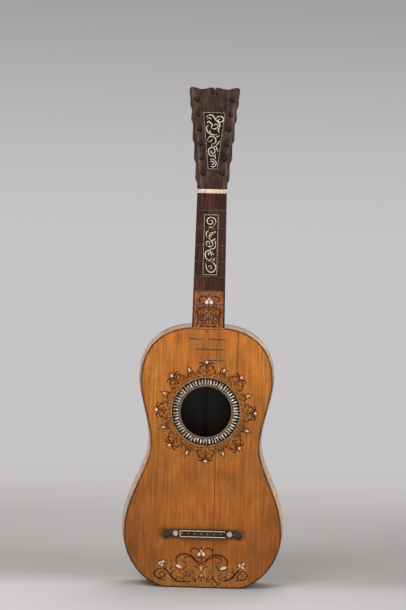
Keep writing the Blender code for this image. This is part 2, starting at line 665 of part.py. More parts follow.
def make_neck():
    work = bmesh.new()
    rings = [[work.verts.new(p) for p in section] for section in neck_sections()]
    for upper, lower in zip(rings, rings[1:]):
        count = len(upper)
        for i in range(count):
            k = (i + 1) % count
            work.faces.new((upper[i], lower[i], lower[k], upper[k]))
    work.faces.new(rings[0])
    work.faces.new(list(reversed(rings[-1])))
    bmesh.ops.recalc_face_normals(work, faces=work.faces)
    mesh = bpy.data.meshes.new("neck")
    work.to_mesh(mesh)
    work.free()
    mesh.shade_smooth()
    mesh.set_sharp_from_angle(angle=math.radians(SHARP_ANGLE))
    mesh_object("neck", mesh, NECK_WOOD)

    cap_half = HEEL_CAP_WIDTH / 2
    half_turn = SMALL_CIRCLE_STEPS // 2
    arc = [(cap_half * math.cos(math.pi * i / half_turn), HEEL_CAP_LENGTH * math.sin(math.pi * i / half_turn))
           for i in range(half_turn + 1)]
    cap_place = empty_at("heel_cap_place", (0, back_at(BODY_LENGTH), BODY_LENGTH + GAP), math.radians(90))
    flat_piece("heel_cap", [arc], 0, HEEL_CAP_THICKNESS, DARK_EDGE, cap_place)


# Flush boards on the neck, with frets and nut

def fret_height(number):
    return NUT_CREST_HEIGHT - STRING_LENGTH * (1 - 2 ** (-number / 12))


def board_loop(low, high, margin_low, margin_high):
    right = [(neck_half_width(low) - margin_low, low), (neck_half_width(high) - margin_high, high)]
    return mirrored_loop(right)


def make_boards():
    board_end = fret_height(BOARD_FRET_COUNT)
    board = flat_piece("fingerboard", [board_loop(board_end + GAP, NUT_FOOT - GAP, 0, 0)],
                       -BOARD_THICKNESS, 0, ROSEWOOD, front_plane)
    half = BOARD_PANEL_WIDTH / 2
    inlay_panel("fingerboard_panel", board, front_plane, board_end + BOARD_PANEL_FROM_END,
                NUT_FOOT - BOARD_PANEL_FROM_NUT, half, half, BOARD_CURLS, BOARD_LEAVES)
    joint = BODY_LENGTH + GAP
    inner = BOARD_EDGE_WIDTH + GAP
    flat_piece("neck_panel", [board_loop(joint, board_end, inner, inner)], -BOARD_THICKNESS, 0,
               SPRUCE, front_plane)
    for side, sign in (("right", 1), ("left", -1)):
        low, high = neck_half_width(joint), neck_half_width(board_end)
        strip = [(low - BOARD_EDGE_WIDTH, joint), (low, joint), (high, board_end),
                 (high - BOARD_EDGE_WIDTH, board_end)]
        flat_piece("neck_edge_" + side, [[(sign * x, y) for x, y in strip]], -BOARD_THICKNESS, 0,
                   EBONY, front_plane)


def inlay_panel(name, carrier, plane, foot, top, foot_half, top_half, curls, leaves):
    # A framed inlay: pocket, bone line, and a dark field with bone curls level with the face.
    def loop(margin):
        right = [(foot_half - margin, foot + margin), (top_half - margin, top - margin)]
        return mirrored_loop(right)

    def place(across, along):
        room = foot_half + (top_half - foot_half) * along - PANEL_FRAME_WIDTH
        return (across * room, foot + PANEL_FRAME_WIDTH + along * (top - foot - 2 * PANEL_FRAME_WIDTH), room)
    cut(carrier, flat_piece(name + "_pocket", [loop(-GAP)], -PANEL_DEPTH, CUT_PAST, None, plane, cutters))
    base = -PANEL_DEPTH + GAP
    flat_piece(name + "_frame", [loop(0), loop(PANEL_FRAME_WIDTH)], base, 0, BONE, plane)
    top_of_ground = base + PANEL_GROUND_THICKNESS
    field = flat_piece(name + "_field", [loop(PANEL_FRAME_WIDTH + GAP)], base, top_of_ground, EBONY, plane)
    outlines = []
    for across, along, size, start, sweep in curls:
        x, y, room = place(across, along)
        outlines.append(curl(x, y, size * room, start, sweep))
    for leaf in leaves:
        line = smooth_through([place(across, along)[:2] for across, along in leaf], LEAF_STEPS)
        outlines.append(ribbon(line, LEAF_WIDTH))
    sunk = top_of_ground - PANEL_GROUND_THICKNESS / 2
    for i, outline in enumerate(outlines):
        shoot = flat_piece("%s_curl_%d" % (name, i + 1), [outline], sunk, 0, BONE, plane, cutters)
        combine(field, shoot, "UNION")


def ribbon(line, width):
    # The outline of a leaf along a middle line: narrow at its start and tip, full between them.
    left, right = [], []
    for i, here in enumerate(line):
        along = (Vector(line[min(i + 1, len(line) - 1)]) - Vector(line[max(i - 1, 0)])).normalized()
        share = i / (len(line) - 1)
        half = width * (LEAF_END_SHARE + (1 - LEAF_END_SHARE) * math.sin(math.pi * share)) / 2
        left.append((here[0] - along.y * half, here[1] + along.x * half))
        right.append((here[0] + along.y * half, here[1] - along.x * half))
    return left + right[::-1]


def curl(x, y, radius, start, sweep):
    # A leaf whose middle line winds inwards to an eye.
    line = []
    for i in range(CURL_STEPS + 1):
        share = i / CURL_STEPS
        angle = math.radians(start + sweep * share)
        reach = (radius - CURL_WIDTH / 2) * (1 - (1 - CURL_END_SHARE) * share)
        line.append((x + reach * math.cos(angle), y + reach * math.sin(angle)))
    return ribbon(line, CURL_WIDTH)


def make_frets():
    for number in range(1, NECK_FRET_COUNT + 1):
        height = fret_height(number)
        half = neck_half_width(height) - GAP
        fret = block("fret_%d" % number, (-half, height - FRET_WIDTH / 2, GAP),
                     (half, height + FRET_WIDTH / 2, GAP + FRET_STAND), BRASS, front_plane)
        for vert in fret.data.vertices:
            if vert.co.z > GAP + FRET_STAND / 2:
                vert.co.y = height + (vert.co.y - height) * FRET_CROWN


def make_nut():
    half = NECK_WIDTH_AT_NUT / 2 + NUT_OVERHANG
    nut = block("nut", (-half, NUT_FOOT, -BOARD_THICKNESS), (half, NUT_TOP, NUT_STAND), BONE, front_plane)
    slots = bmesh.new()
    pitch = COURSE_SPREAD_AT_NUT / (COURSE_COUNT - 1)
    for course in range(COURSE_COUNT):
        for side in (-1, 1):
            x = (course - (COURSE_COUNT - 1) / 2) * pitch + side * PAIR_SPACING / 2
            made = bmesh.ops.create_cube(slots, size=1)["verts"]
            bmesh.ops.scale(slots, vec=(NUT_SLOT_WIDTH, NUT_LENGTH * 2, NUT_SLOT_DEPTH * 2), verts=made)
            bmesh.ops.translate(slots, vec=(x, NUT_CREST_HEIGHT, NUT_STAND), verts=made)
    mesh = bpy.data.meshes.new("nut_slots")
    slots.to_mesh(mesh)
    slots.free()
    tool = mesh_object("nut_slots", mesh, None, front_plane, cutters)
    hide_cutter(tool)
    cut(nut, tool)


# Bridge

def make_bridge():
    middle = BRIDGE_MIDDLE
    half, deep = BRIDGE_LENGTH / 2, BRIDGE_WIDTH / 2
    end = half - ROUNDEL_OFFSET
    right = smooth_through([(ROUNDEL_OFFSET + a * end, middle + b * deep) for a, b in MOUSTACHE],
                           OUTLINE_STEPS)
    base = flat_piece("bridge", [mirrored_loop(right)], GAP, GAP + BRIDGE_BASE_THICKNESS, EBONY, front_plane)
    tie_deep = deep - TIE_BLOCK_MARGIN
    tie = block("tie_block", (-TIE_BLOCK_HALF, middle - tie_deep, GAP + BRIDGE_BASE_THICKNESS / 2),
                (TIE_BLOCK_HALF, middle + tie_deep, GAP + TIE_BLOCK_HEIGHT), None, front_plane, cutters)
    combine(base, tie, "UNION")
    for side in (-1, 1):
        name = "roundel_boss_%s" % ("left" if side < 0 else "right")
        boss = flat_piece(name, [circle(side * ROUNDEL_OFFSET, middle, BOSS_RADIUS, SMALL_CIRCLE_STEPS)],
                          GAP + BRIDGE_BASE_THICKNESS / 2, GAP + BOSS_HEIGHT, None, front_plane, cutters)
        combine(base, boss, "UNION")
    holes = bmesh.new()
    for course in range(COURSE_COUNT):
        for side in (-1, 1):
            x = (course - (COURSE_COUNT - 1) / 2) * COURSE_PITCH + side * PAIR_SPACING / 2
            made = bmesh.ops.create_cone(holes, cap_ends=True, segments=STRING_HOLE_SIDES,
                                         radius1=STRING_HOLE_RADIUS, radius2=STRING_HOLE_RADIUS,
                                         depth=BRIDGE_WIDTH * 2)["verts"]
            for vert in made:
                vert.co = (vert.co.x + x, middle + vert.co.z, TIE_BLOCK_HEIGHT * STRING_HOLE_SHARE + vert.co.y)
    mesh = bpy.data.meshes.new("string_holes")
    bmesh.ops.recalc_face_normals(holes, faces=holes.faces)
    holes.to_mesh(mesh)
    holes.free()
    tool = mesh_object("string_holes", mesh, None, front_plane, cutters)
    hide_cutter(tool)
    cut(base, tool)
    make_bridge_inlays(middle)


def make_bridge_inlays(middle):
    top = GAP + TIE_BLOCK_HEIGHT + GAP
    outer = EDGING_OUTER_WIDTH / 2
    long = TIE_BLOCK_HALF - EDGING_MARGIN
    inner = outer - EDGING_STRIP_WIDTH
    # the bone line runs along both sides and closes only at the left end
    line = [(long, middle - outer), (long, middle - inner), (-long + EDGING_STRIP_WIDTH, middle - inner),
            (-long + EDGING_STRIP_WIDTH, middle + inner), (long, middle + inner), (long, middle + outer),
            (-long, middle + outer), (-long, middle - outer)]
    flat_piece("bridge_bone_line", [line], top, top + EDGING_THICKNESS, BONE, front_plane)
    seat = GAP + BOSS_HEIGHT + GAP
    for side, name in ((-1, "bridge_roundel_left"), (1, "bridge_roundel_right")):
        flat_piece(name, [circle(side * ROUNDEL_OFFSET, middle, ROUNDEL_RADIUS, SMALL_CIRCLE_STEPS)], seat,
                   seat + ROUNDEL_THICKNESS, PEARL, front_plane)


# Head

def peg_place(row, side):
    return (side * (PEG_FIRST_OFFSET + PEG_OFFSET_STEP * row), PEG_FIRST_ROW + PEG_ROW_PITCH * row)


def head_outline():
    # The scalloped right edge from the foot upwards, then the ear, scoop, bump and notch of the top.
    slope = (HEAD_TOP_WIDTH - HEAD_FOOT_WIDTH) / 2 / HEAD_LENGTH

    def plain(height):
        return HEAD_FOOT_WIDTH / 2 + slope * height
    edge = [(plain(0), -HEAD_FOOT_OVERLAP), (plain(0), HEAD_FOOT_OVERLAP)]
    for peak in SCALLOP_PEAKS:
        valley = peak - SCALLOP_STEP
        edge.append((plain(valley) - SCALLOP_DIP, valley))
        edge.append((plain(peak) + SCALLOP_RISE, peak))
    half = HEAD_TOP_WIDTH / 2
    ear_top = HEAD_LENGTH + EAR_RISE
    bump_top = HEAD_LENGTH + TOP_BUMP_RISE
    edge.append((half - SCALLOP_DIP, HEAD_LENGTH - EAR_FOOT))
    edge.append((half + SCALLOP_DIP, ear_top - EAR_CORNER))
    edge.append((half - EAR_CORNER, ear_top))
    edge.append((half - EAR_WIDTH, ear_top - EAR_RISE / 2))
    edge.append((TOP_SCOOP_OFFSET, HEAD_LENGTH))
    edge.append((TOP_BUMP_OFFSET * 2, HEAD_LENGTH + TOP_BUMP_RISE / 2))
    edge.append((TOP_BUMP_OFFSET, bump_top))
    edge.append((TOP_BUMP_OFFSET / 3, bump_top - TOP_NOTCH_DEPTH / 8))
    line = smooth_through(edge, OUTLINE_STEPS)
    line.append((0, HEAD_LENGTH + TOP_BUMP_RISE - TOP_NOTCH_DEPTH))
    return mirrored_loop(line)


def make_head():
    outline = head_outline()
    core_top = -VENEER_THICKNESS - GAP
    core = flat_piece("head_core", [outline], core_top - HEAD_CORE_THICKNESS, core_top, NECK_WOOD, head_plane)
    veneer = flat_piece("head_veneer", [outline], -VENEER_THICKNESS, 0, HEAD_WOOD, head_plane)
    reach = SEAT_CUT_REACH
    seat_cut = block("head_seat", (-reach, FRONT - reach, HEAD_FOOT - reach),
                     (reach, FRONT + reach, HEAD_FOOT), None, None, cutters)
    bores = bmesh.new()
    full = VENEER_THICKNESS + GAP + HEAD_CORE_THICKNESS
    bore_radius = (PEG_BACK_RADIUS + PEG_CLEARANCE) / math.cos(math.pi / PEG_SIDES)
    places = [(x, y, bore_radius, PEG_SIDES) for row in range(PEG_ROWS) for x, y in
              (peg_place(row, -1), peg_place(row, 1))]
    for side in (-1, 1):
        places.append((side * CORD_HOLE_OFFSET, HEAD_LENGTH + TOP_BUMP_RISE - CORD_HOLE_FROM_TOP,
                       CORD_HOLE_RADIUS, CORD_HOLE_SIDES))
    for x, y, radius, sides in places:
        made = bmesh.ops.create_cone(bores, cap_ends=True, segments=sides, radius1=radius, radius2=radius,
                                     depth=full * 2)["verts"]
        bmesh.ops.translate(bores, vec=(x, y, -full / 2), verts=made)
    mesh = bpy.data.meshes.new("head_bores")
    bores.to_mesh(mesh)
    bores.free()
    tool = mesh_object("head_bores", mesh, None, head_plane, cutters)
    hide_cutter(tool)
    for piece in (core, veneer):
        cut(piece, seat_cut)
        cut(piece, tool)
    inlay_panel("head_panel", veneer, head_plane, HEAD_PANEL_FOOT, HEAD_PANEL_TOP,
                HEAD_PANEL_FOOT_WIDTH / 2, HEAD_PANEL_TOP_WIDTH / 2, HEAD_CURLS, HEAD_LEAVES)


def peg_mesh():
    # A tapered shank, collar and stem turned round, then the grip flattened and swelling.
    back = -(VENEER_THICKNESS + GAP + HEAD_CORE_THICKNESS)
    collar = back - PEG_COLLAR_CLEARANCE
    stem = collar - PEG_COLLAR_LENGTH
    grip = stem - PEG_STEM_LENGTH
    turned = [(PEG_TIP_RADIUS * PEG_TIP_SHARE, PEG_TIP_STAND), (PEG_TIP_RADIUS, PEG_TIP_STAND - PEG_TIP_BEVEL),
              (PEG_BACK_RADIUS, back), (PEG_COLLAR_RADIUS, collar), (PEG_COLLAR_RADIUS, stem),
              (PEG_STEM_RADIUS, (stem + grip) / 2)]
    sections = [(radius, radius, z) for radius, z in turned]
    for across, through, along in PEG_GRIP:
        sections.append((across * PEG_BUTTON_WIDTH / 2, through * PEG_BUTTON_THICKNESS / 2,
                         grip - along * PEG_BUTTON_LENGTH))
    work = bmesh.new()
    turn = 2 * math.pi / PEG_SIDES
    rings = [[work.verts.new((rx * math.cos(turn * i), ry * math.sin(turn * i), z)) for i in range(PEG_SIDES)]
             for rx, ry, z in sections]
    for upper, lower in zip(rings, rings[1:]):
        for i in range(PEG_SIDES):
            k = (i + 1) % PEG_SIDES
            work.faces.new((upper[i], lower[i], lower[k], upper[k]))
    work.faces.new(rings[0])
    work.faces.new(list(reversed(rings[-1])))
    bmesh.ops.recalc_face_normals(work, faces=work.faces)
    mesh = bpy.data.meshes.new("peg")
    work.to_mesh(mesh)
    work.free()
    mesh.materials.append(PEG_WOOD)
    mesh.shade_smooth()
    mesh.set_sharp_from_angle(angle=math.radians(SHARP_ANGLE))
    return mesh


def make_pegs():
    # Each peg turns about its own Z axis, square to the head's face.
    mesh = peg_mesh()
    number = 1
    for side in (-1, 1):
        for row in range(PEG_ROWS):
            x, y = peg_place(row, side)
            peg = mesh_object("peg_%02d" % number, mesh, None, head_plane)
            peg.location = (x, y, 0)
            number += 1


make_soundboard()
make_rosette()
make_case()
make_frame()
make_neck()
make_boards()
make_frets()
make_nut()
make_bridge()
make_head()
make_pegs()
bpy.context.view_layer.update()
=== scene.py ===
import math
import random

import bmesh
import bpy
from mathutils import Matrix, Vector
from mathutils.geometry import interpolate_bezier


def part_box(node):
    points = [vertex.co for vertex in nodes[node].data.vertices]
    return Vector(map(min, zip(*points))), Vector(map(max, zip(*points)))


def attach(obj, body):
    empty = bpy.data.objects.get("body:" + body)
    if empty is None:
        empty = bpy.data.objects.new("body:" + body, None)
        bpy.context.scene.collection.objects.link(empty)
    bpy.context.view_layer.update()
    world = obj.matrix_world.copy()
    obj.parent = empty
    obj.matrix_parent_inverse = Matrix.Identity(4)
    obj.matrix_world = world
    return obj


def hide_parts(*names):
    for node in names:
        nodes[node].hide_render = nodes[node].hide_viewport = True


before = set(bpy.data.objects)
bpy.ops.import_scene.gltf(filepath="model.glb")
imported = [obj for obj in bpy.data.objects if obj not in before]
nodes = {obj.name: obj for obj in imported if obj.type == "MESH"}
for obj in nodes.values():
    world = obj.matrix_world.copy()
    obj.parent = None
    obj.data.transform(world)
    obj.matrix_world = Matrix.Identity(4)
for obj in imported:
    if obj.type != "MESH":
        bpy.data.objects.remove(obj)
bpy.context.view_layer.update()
scene = bpy.context.scene
mm = 0.001

# Places read from the frame
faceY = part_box("soundboard")[0][1]                  # plane of the soundboard's face
holeHeight = sum(c[2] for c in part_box("rosette_inner_ring")) / 2
headTilt = math.radians(10)
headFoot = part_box("nut")[1][2] + 0.3 * mm           # where the head's face meets the soundboard's plane


# Small helpers

def linear(hexColour):
    # sRGB hex to the linear colour that the shaders take
    text = hexColour.lstrip("#")
    parts = [int(text[i:i + 2], 16) / 255 for i in (0, 2, 4)]
    return tuple(p / 12.92 if p <= 0.04045 else ((p + 0.055) / 1.055) ** 2.4 for p in parts) + (1.0,)


def feed(tree, node, key, value):
    # sets an input, or links it to a socket or to a node's first output
    if isinstance(value, bpy.types.Node):
        value = value.outputs[0]
    if isinstance(value, bpy.types.NodeSocket):
        tree.links.new(value, node.inputs[key])
    else:
        node.inputs[key].default_value = value


def addNode(tree, kind, inputs=None, stops=(), **settings):
    # adds a node with its options and its inputs; stops, each a place and a colour, fill a colour ramp
    node = tree.nodes.new(kind)
    for name, value in settings.items():
        setattr(node, name, value)
    if stops:
        elements = node.color_ramp.elements
        while len(elements) < len(stops):
            elements.new(0.5)
        for element, (place, colour) in zip(elements, stops):
            element.position = place
            element.color = linear(colour) if isinstance(colour, str) else colour
    for key, value in (inputs or {}).items():
        feed(tree, node, key, value)
    return node


def newMaterial(name, roughness, **plain):
    # an empty material with its shader; plain values are set on the shader's own sockets
    material = bpy.data.materials.new(name)
    material.use_nodes = True
    tree = material.node_tree
    shader = tree.nodes["Principled BSDF"]
    shader.inputs["Roughness"].default_value = roughness
    for key, value in plain.items():
        shader.inputs[key.replace("_", " ")].default_value = value
    return material, tree, shader


def intoShader(tree, shader, colour, height=None, depth=0.0, roughness=None):
    # colour, and where given relief of depth mm and roughness, into the shader
    feed(tree, shader, "Base Color", colour)
    if depth:
        bump = addNode(tree, "ShaderNodeBump", {"Height": height, "Distance": depth * mm, "Strength": 1.0})
        feed(tree, shader, "Normal", bump)
    if roughness:
        feed(tree, shader, "Roughness", roughness)


def shaded(tree, tone, mask, depth):
    # darkens a tone by depth where the mask is 1
    amount = addNode(tree, "ShaderNodeMapRange", {"Value": mask, "To Min": 1.0, "To Max": 1 - depth},
                     clamp=False)
    return addNode(tree, "ShaderNodeVectorMath", {0: tone, 3: amount}, operation="SCALE")


def tinted(tree, tone, mask, factor):
    # multiplies a tone by a factor for red, green and blue where the mask is 1
    changed = addNode(tree, "ShaderNodeVectorMath", {0: tone, 1: factor}, operation="MULTIPLY")
    return addNode(tree, "ShaderNodeMix", {"Factor": mask, 6: tone, 7: changed}, data_type="RGBA").outputs[2]


def gapTo(tree, coordinate, centre):
    # how far a coordinate is from a value, on either side
    off = addNode(tree, "ShaderNodeMath", {0: coordinate, 1: centre}, operation="SUBTRACT")
    return addNode(tree, "ShaderNodeMath", {0: off}, operation="ABSOLUTE")


def maskBy(tree, coordinate, centre, span):
    # 0 to 1 as the gap between a coordinate and a centre goes from the first value of span to the second, mm
    return addNode(tree, "ShaderNodeMapRange", {"Value": gapTo(tree, coordinate, centre),
                                                "From Min": span[0] * mm, "From Max": span[1] * mm})


def placeObject(name, data):
    made = bpy.data.objects.new(name, data)
    scene.collection.objects.link(made)
    return made


def ridePiece(name, mesh, material=None, body="guitar", replaced=()):
    # a finished mesh becomes a piece that moves with its body
    if material:
        mesh.materials.append(material)
    made = placeObject(name, mesh)
    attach(made, body)
    if replaced:
        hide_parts(*replaced)
    return made


def smoothed(mesh, sharp=40):
    # smooth curves, and hard arrises past this many degrees
    mesh.shade_smooth()
    mesh.set_sharp_from_angle(angle=math.radians(sharp))
    return mesh


def fromBmesh(name, work, sharp=40):
    mesh = bpy.data.meshes.new(name)
    work.to_mesh(mesh)
    work.free()
    return smoothed(mesh, sharp)


def takeMesh(holder):
    # a plain mesh of what the holder's modifier makes; the holder goes
    mesh = bpy.data.meshes.new_from_object(holder.evaluated_get(bpy.context.evaluated_depsgraph_get()))
    holder.modifiers.clear()
    bpy.data.objects.remove(holder)
    return mesh


print("stage and camera")

# Camera, at the photograph's distance, height and roll
view = {
    "distance": 8.0,          # metres from the soundboard
    "target": (-0.0102, -0.044, 0.4965),
    "pitch": 4.9,             # degrees downwards
    "roll": 1.6,              # degrees, the object leans to the right
    "mmPerPixel": 1.739,
    "pixelsHigh": 610,
    "sensor": 36.0,
    "clip": (0.05, 50),
}
cameraData = bpy.data.cameras.new("camera")
camera = placeObject("camera", cameraData)
scene.camera = camera
cameraData.sensor_width = view["sensor"]
cameraData.lens = view["sensor"] * view["distance"] / (view["mmPerPixel"] * mm * view["pixelsHigh"])
cameraData.clip_start, cameraData.clip_end = view["clip"]
pitch = math.radians(view["pitch"])
towards = Vector((0, math.cos(pitch), -math.sin(pitch)))
camera.location = Vector(view["target"]) - towards * view["distance"]
camera.rotation_mode = "QUATERNION"
camera.rotation_quaternion = (towards.to_track_quat("-Z", "Y")
                              @ Matrix.Rotation(math.radians(view["roll"]), 4, "Z").to_quaternion())

scene.view_settings.view_transform = "Standard"

stage = {
    "radius": 9.0,                     # metres, as all lengths here
    "sides": 64,
    "nearShadow": (0.5, 1.3),          # the floor is lit up to the first radius, and plain past the second
    "farGrey": "#c6c4c5",              # the same on every side past the second of these radii
    "farFade": (1.3, 3.2),
    "sideShade": (0.05, 0.45, 0.15),   # painted shadow: the floor darkens to the right between these, by this much
    "sideReach": (1.2, 0.5),           # and no more past the first of these behind the object
    "worldLight": 0.46,
    # grey of the sweep from front to back, by distance behind the soundboard; the darker band just behind the
    # object is a painted shadow
    "floorGreys": ((-1.0, "#c8c6c7"), (-0.3, "#c5c2c3"), (-0.06, "#c0bdbd"), (0.0, "#b6b2b2"),
                   (0.1, "#a6a1a0"), (0.3, "#a4a09f"), (0.5, "#aba7a6"), (0.9, "#b3afae"), (1.15, "#bdb9b8"),
                   (1.4, "#c4c0c0"), (2.3, "#c8c6c7"), (5.0, "#c6c4c5")),
    # grey of the backdrop by the sine of the elevation, darker upwards: a painted fall-off of the light
    "skyGreys": ((-0.1, "#c6c4c5"), (-0.069, "#c5c3c4"), (-0.0506, "#bebbbc"), (-0.0366, "#b2afb0"),
                 (-0.018, "#a19f9e"), (0.2, "#a19f9e")),
}


def greyRamp(tree, coordinate, greys):
    # a row of greys by a coordinate
    low, high = greys[0][0], greys[-1][0]
    share = addNode(tree, "ShaderNodeMapRange", {"Value": coordinate, "From Min": low, "From Max": high})
    return addNode(tree, "ShaderNodeValToRGB", {"Fac": share},
                   stops=[((place - low) / (high - low), colour) for place, colour in greys])


def raysSeen(tree):
    # 1 for what the camera, gloss or glass sees, 0 for the light that falls on the object
    path = addNode(tree, "ShaderNodeLightPath").outputs
    seen = path["Is Camera Ray"]
    for ray in ("Is Glossy Ray", "Is Transmission Ray"):
        seen = addNode(tree, "ShaderNodeMath", {0: seen, 1: path[ray]}, operation="MAXIMUM")
    return seen


def makeFloor():
    # plain pale floor that keeps the shadow near the object and fades into an even backdrop; its greys add a
    # painted shadow behind the object and to its right
    work = bmesh.new()
    bmesh.ops.create_circle(work, cap_ends=True, segments=stage["sides"], radius=stage["radius"])
    mesh = bpy.data.meshes.new("floor")
    work.to_mesh(mesh)
    work.free()
    placeObject("floor", mesh)
    material = bpy.data.materials.new("floorPaper")
    material.use_nodes = True
    mesh.materials.append(material)
    tree = material.node_tree
    tree.nodes.clear()
    coords = addNode(tree, "ShaderNodeTexCoord").outputs["Object"]
    axes = addNode(tree, "ShaderNodeSeparateXYZ", {0: coords}).outputs
    grey = greyRamp(tree, axes["Y"], stage["floorGreys"])
    # painted shadow: darker to the right of the object
    near, far, depth = stage["sideShade"]
    behind, beside = stage["sideReach"]
    right = addNode(tree, "ShaderNodeMapRange", {"Value": axes["X"], "From Min": near, "From Max": far})
    reach = addNode(tree, "ShaderNodeMapRange", {"Value": axes["Y"], "From Min": behind, "From Max": beside})
    side = addNode(tree, "ShaderNodeMath", {0: right, 1: reach}, operation="MULTIPLY")
    grey = shaded(tree, grey, side, depth)
    away = addNode(tree, "ShaderNodeVectorMath", {0: coords}, operation="LENGTH").outputs["Value"]
    faded, plain = [addNode(tree, "ShaderNodeMapRange", {"Value": away, "From Min": near, "From Max": far})
                    for near, far in (stage["farFade"], stage["nearShadow"])]
    grey = addNode(tree, "ShaderNodeMix", {"Factor": faded, 6: grey, 7: linear(stage["farGrey"])},
                   data_type="RGBA").outputs[2]
    amount = addNode(tree, "ShaderNodeMath", {0: raysSeen(tree), 1: plain}, operation="MULTIPLY")
    paper = addNode(tree, "ShaderNodeBsdfDiffuse", {"Color": grey})
    glow = addNode(tree, "ShaderNodeEmission", {"Color": grey})
    mixed = addNode(tree, "ShaderNodeMixShader", {0: amount, 1: paper, 2: glow})
    addNode(tree, "ShaderNodeOutputMaterial", {"Surface": mixed})


def makeBackdrop():
    world = bpy.data.worlds.new("backdrop")
    scene.world = world
    world.use_nodes = True
    tree = world.node_tree
    tree.nodes.clear()
    coords = addNode(tree, "ShaderNodeTexCoord").outputs["Generated"]
    axes = addNode(tree, "ShaderNodeSeparateXYZ", {0: coords}).outputs
    # painted fall-off of light: the backdrop darkens upwards
    grey = greyRamp(tree, axes["Z"], stage["skyGreys"])
    shown = addNode(tree, "ShaderNodeBackground", {"Color": grey, "Strength": 1.0})
    light = addNode(tree, "ShaderNodeBackground", {"Color": (1, 1, 1, 1), "Strength": stage["worldLight"]})
    mixed = addNode(tree, "ShaderNodeMixShader", {0: raysSeen(tree), 1: light, 2: shown})
    addNode(tree, "ShaderNodeOutputWorld", {"Surface": mixed})


lamps = {
    # name: place, point it faces, side in metres, watts
    "key": ((-1.0, -2.3, 2.5), (0, 0, 0.5), 1.4, 52),
    "fill": ((1.9, -2.0, 1.3), (0, 0, 0.45), 1.6, 20),
    "top": ((0.2, 0.5, 2.7), (0, 0, 0.6), 1.2, 14),
    "rear": ((0.6, 2.1, 2.4), (0, 0, 0.45), 1.8, 28),
}


def makeLamps():
    for name, (place, aim, side, watts) in lamps.items():
        data = bpy.data.lights.new(name, "AREA")
        data.size = side
        data.energy = watts
        lamp = placeObject(name, data)
        lamp.location = place
        lamp.rotation_mode = "QUATERNION"
        lamp.rotation_quaternion = (Vector(aim) - Vector(place)).to_track_quat("-Z", "Y")


makeFloor()
makeBackdrop()
makeLamps()

print("materials")

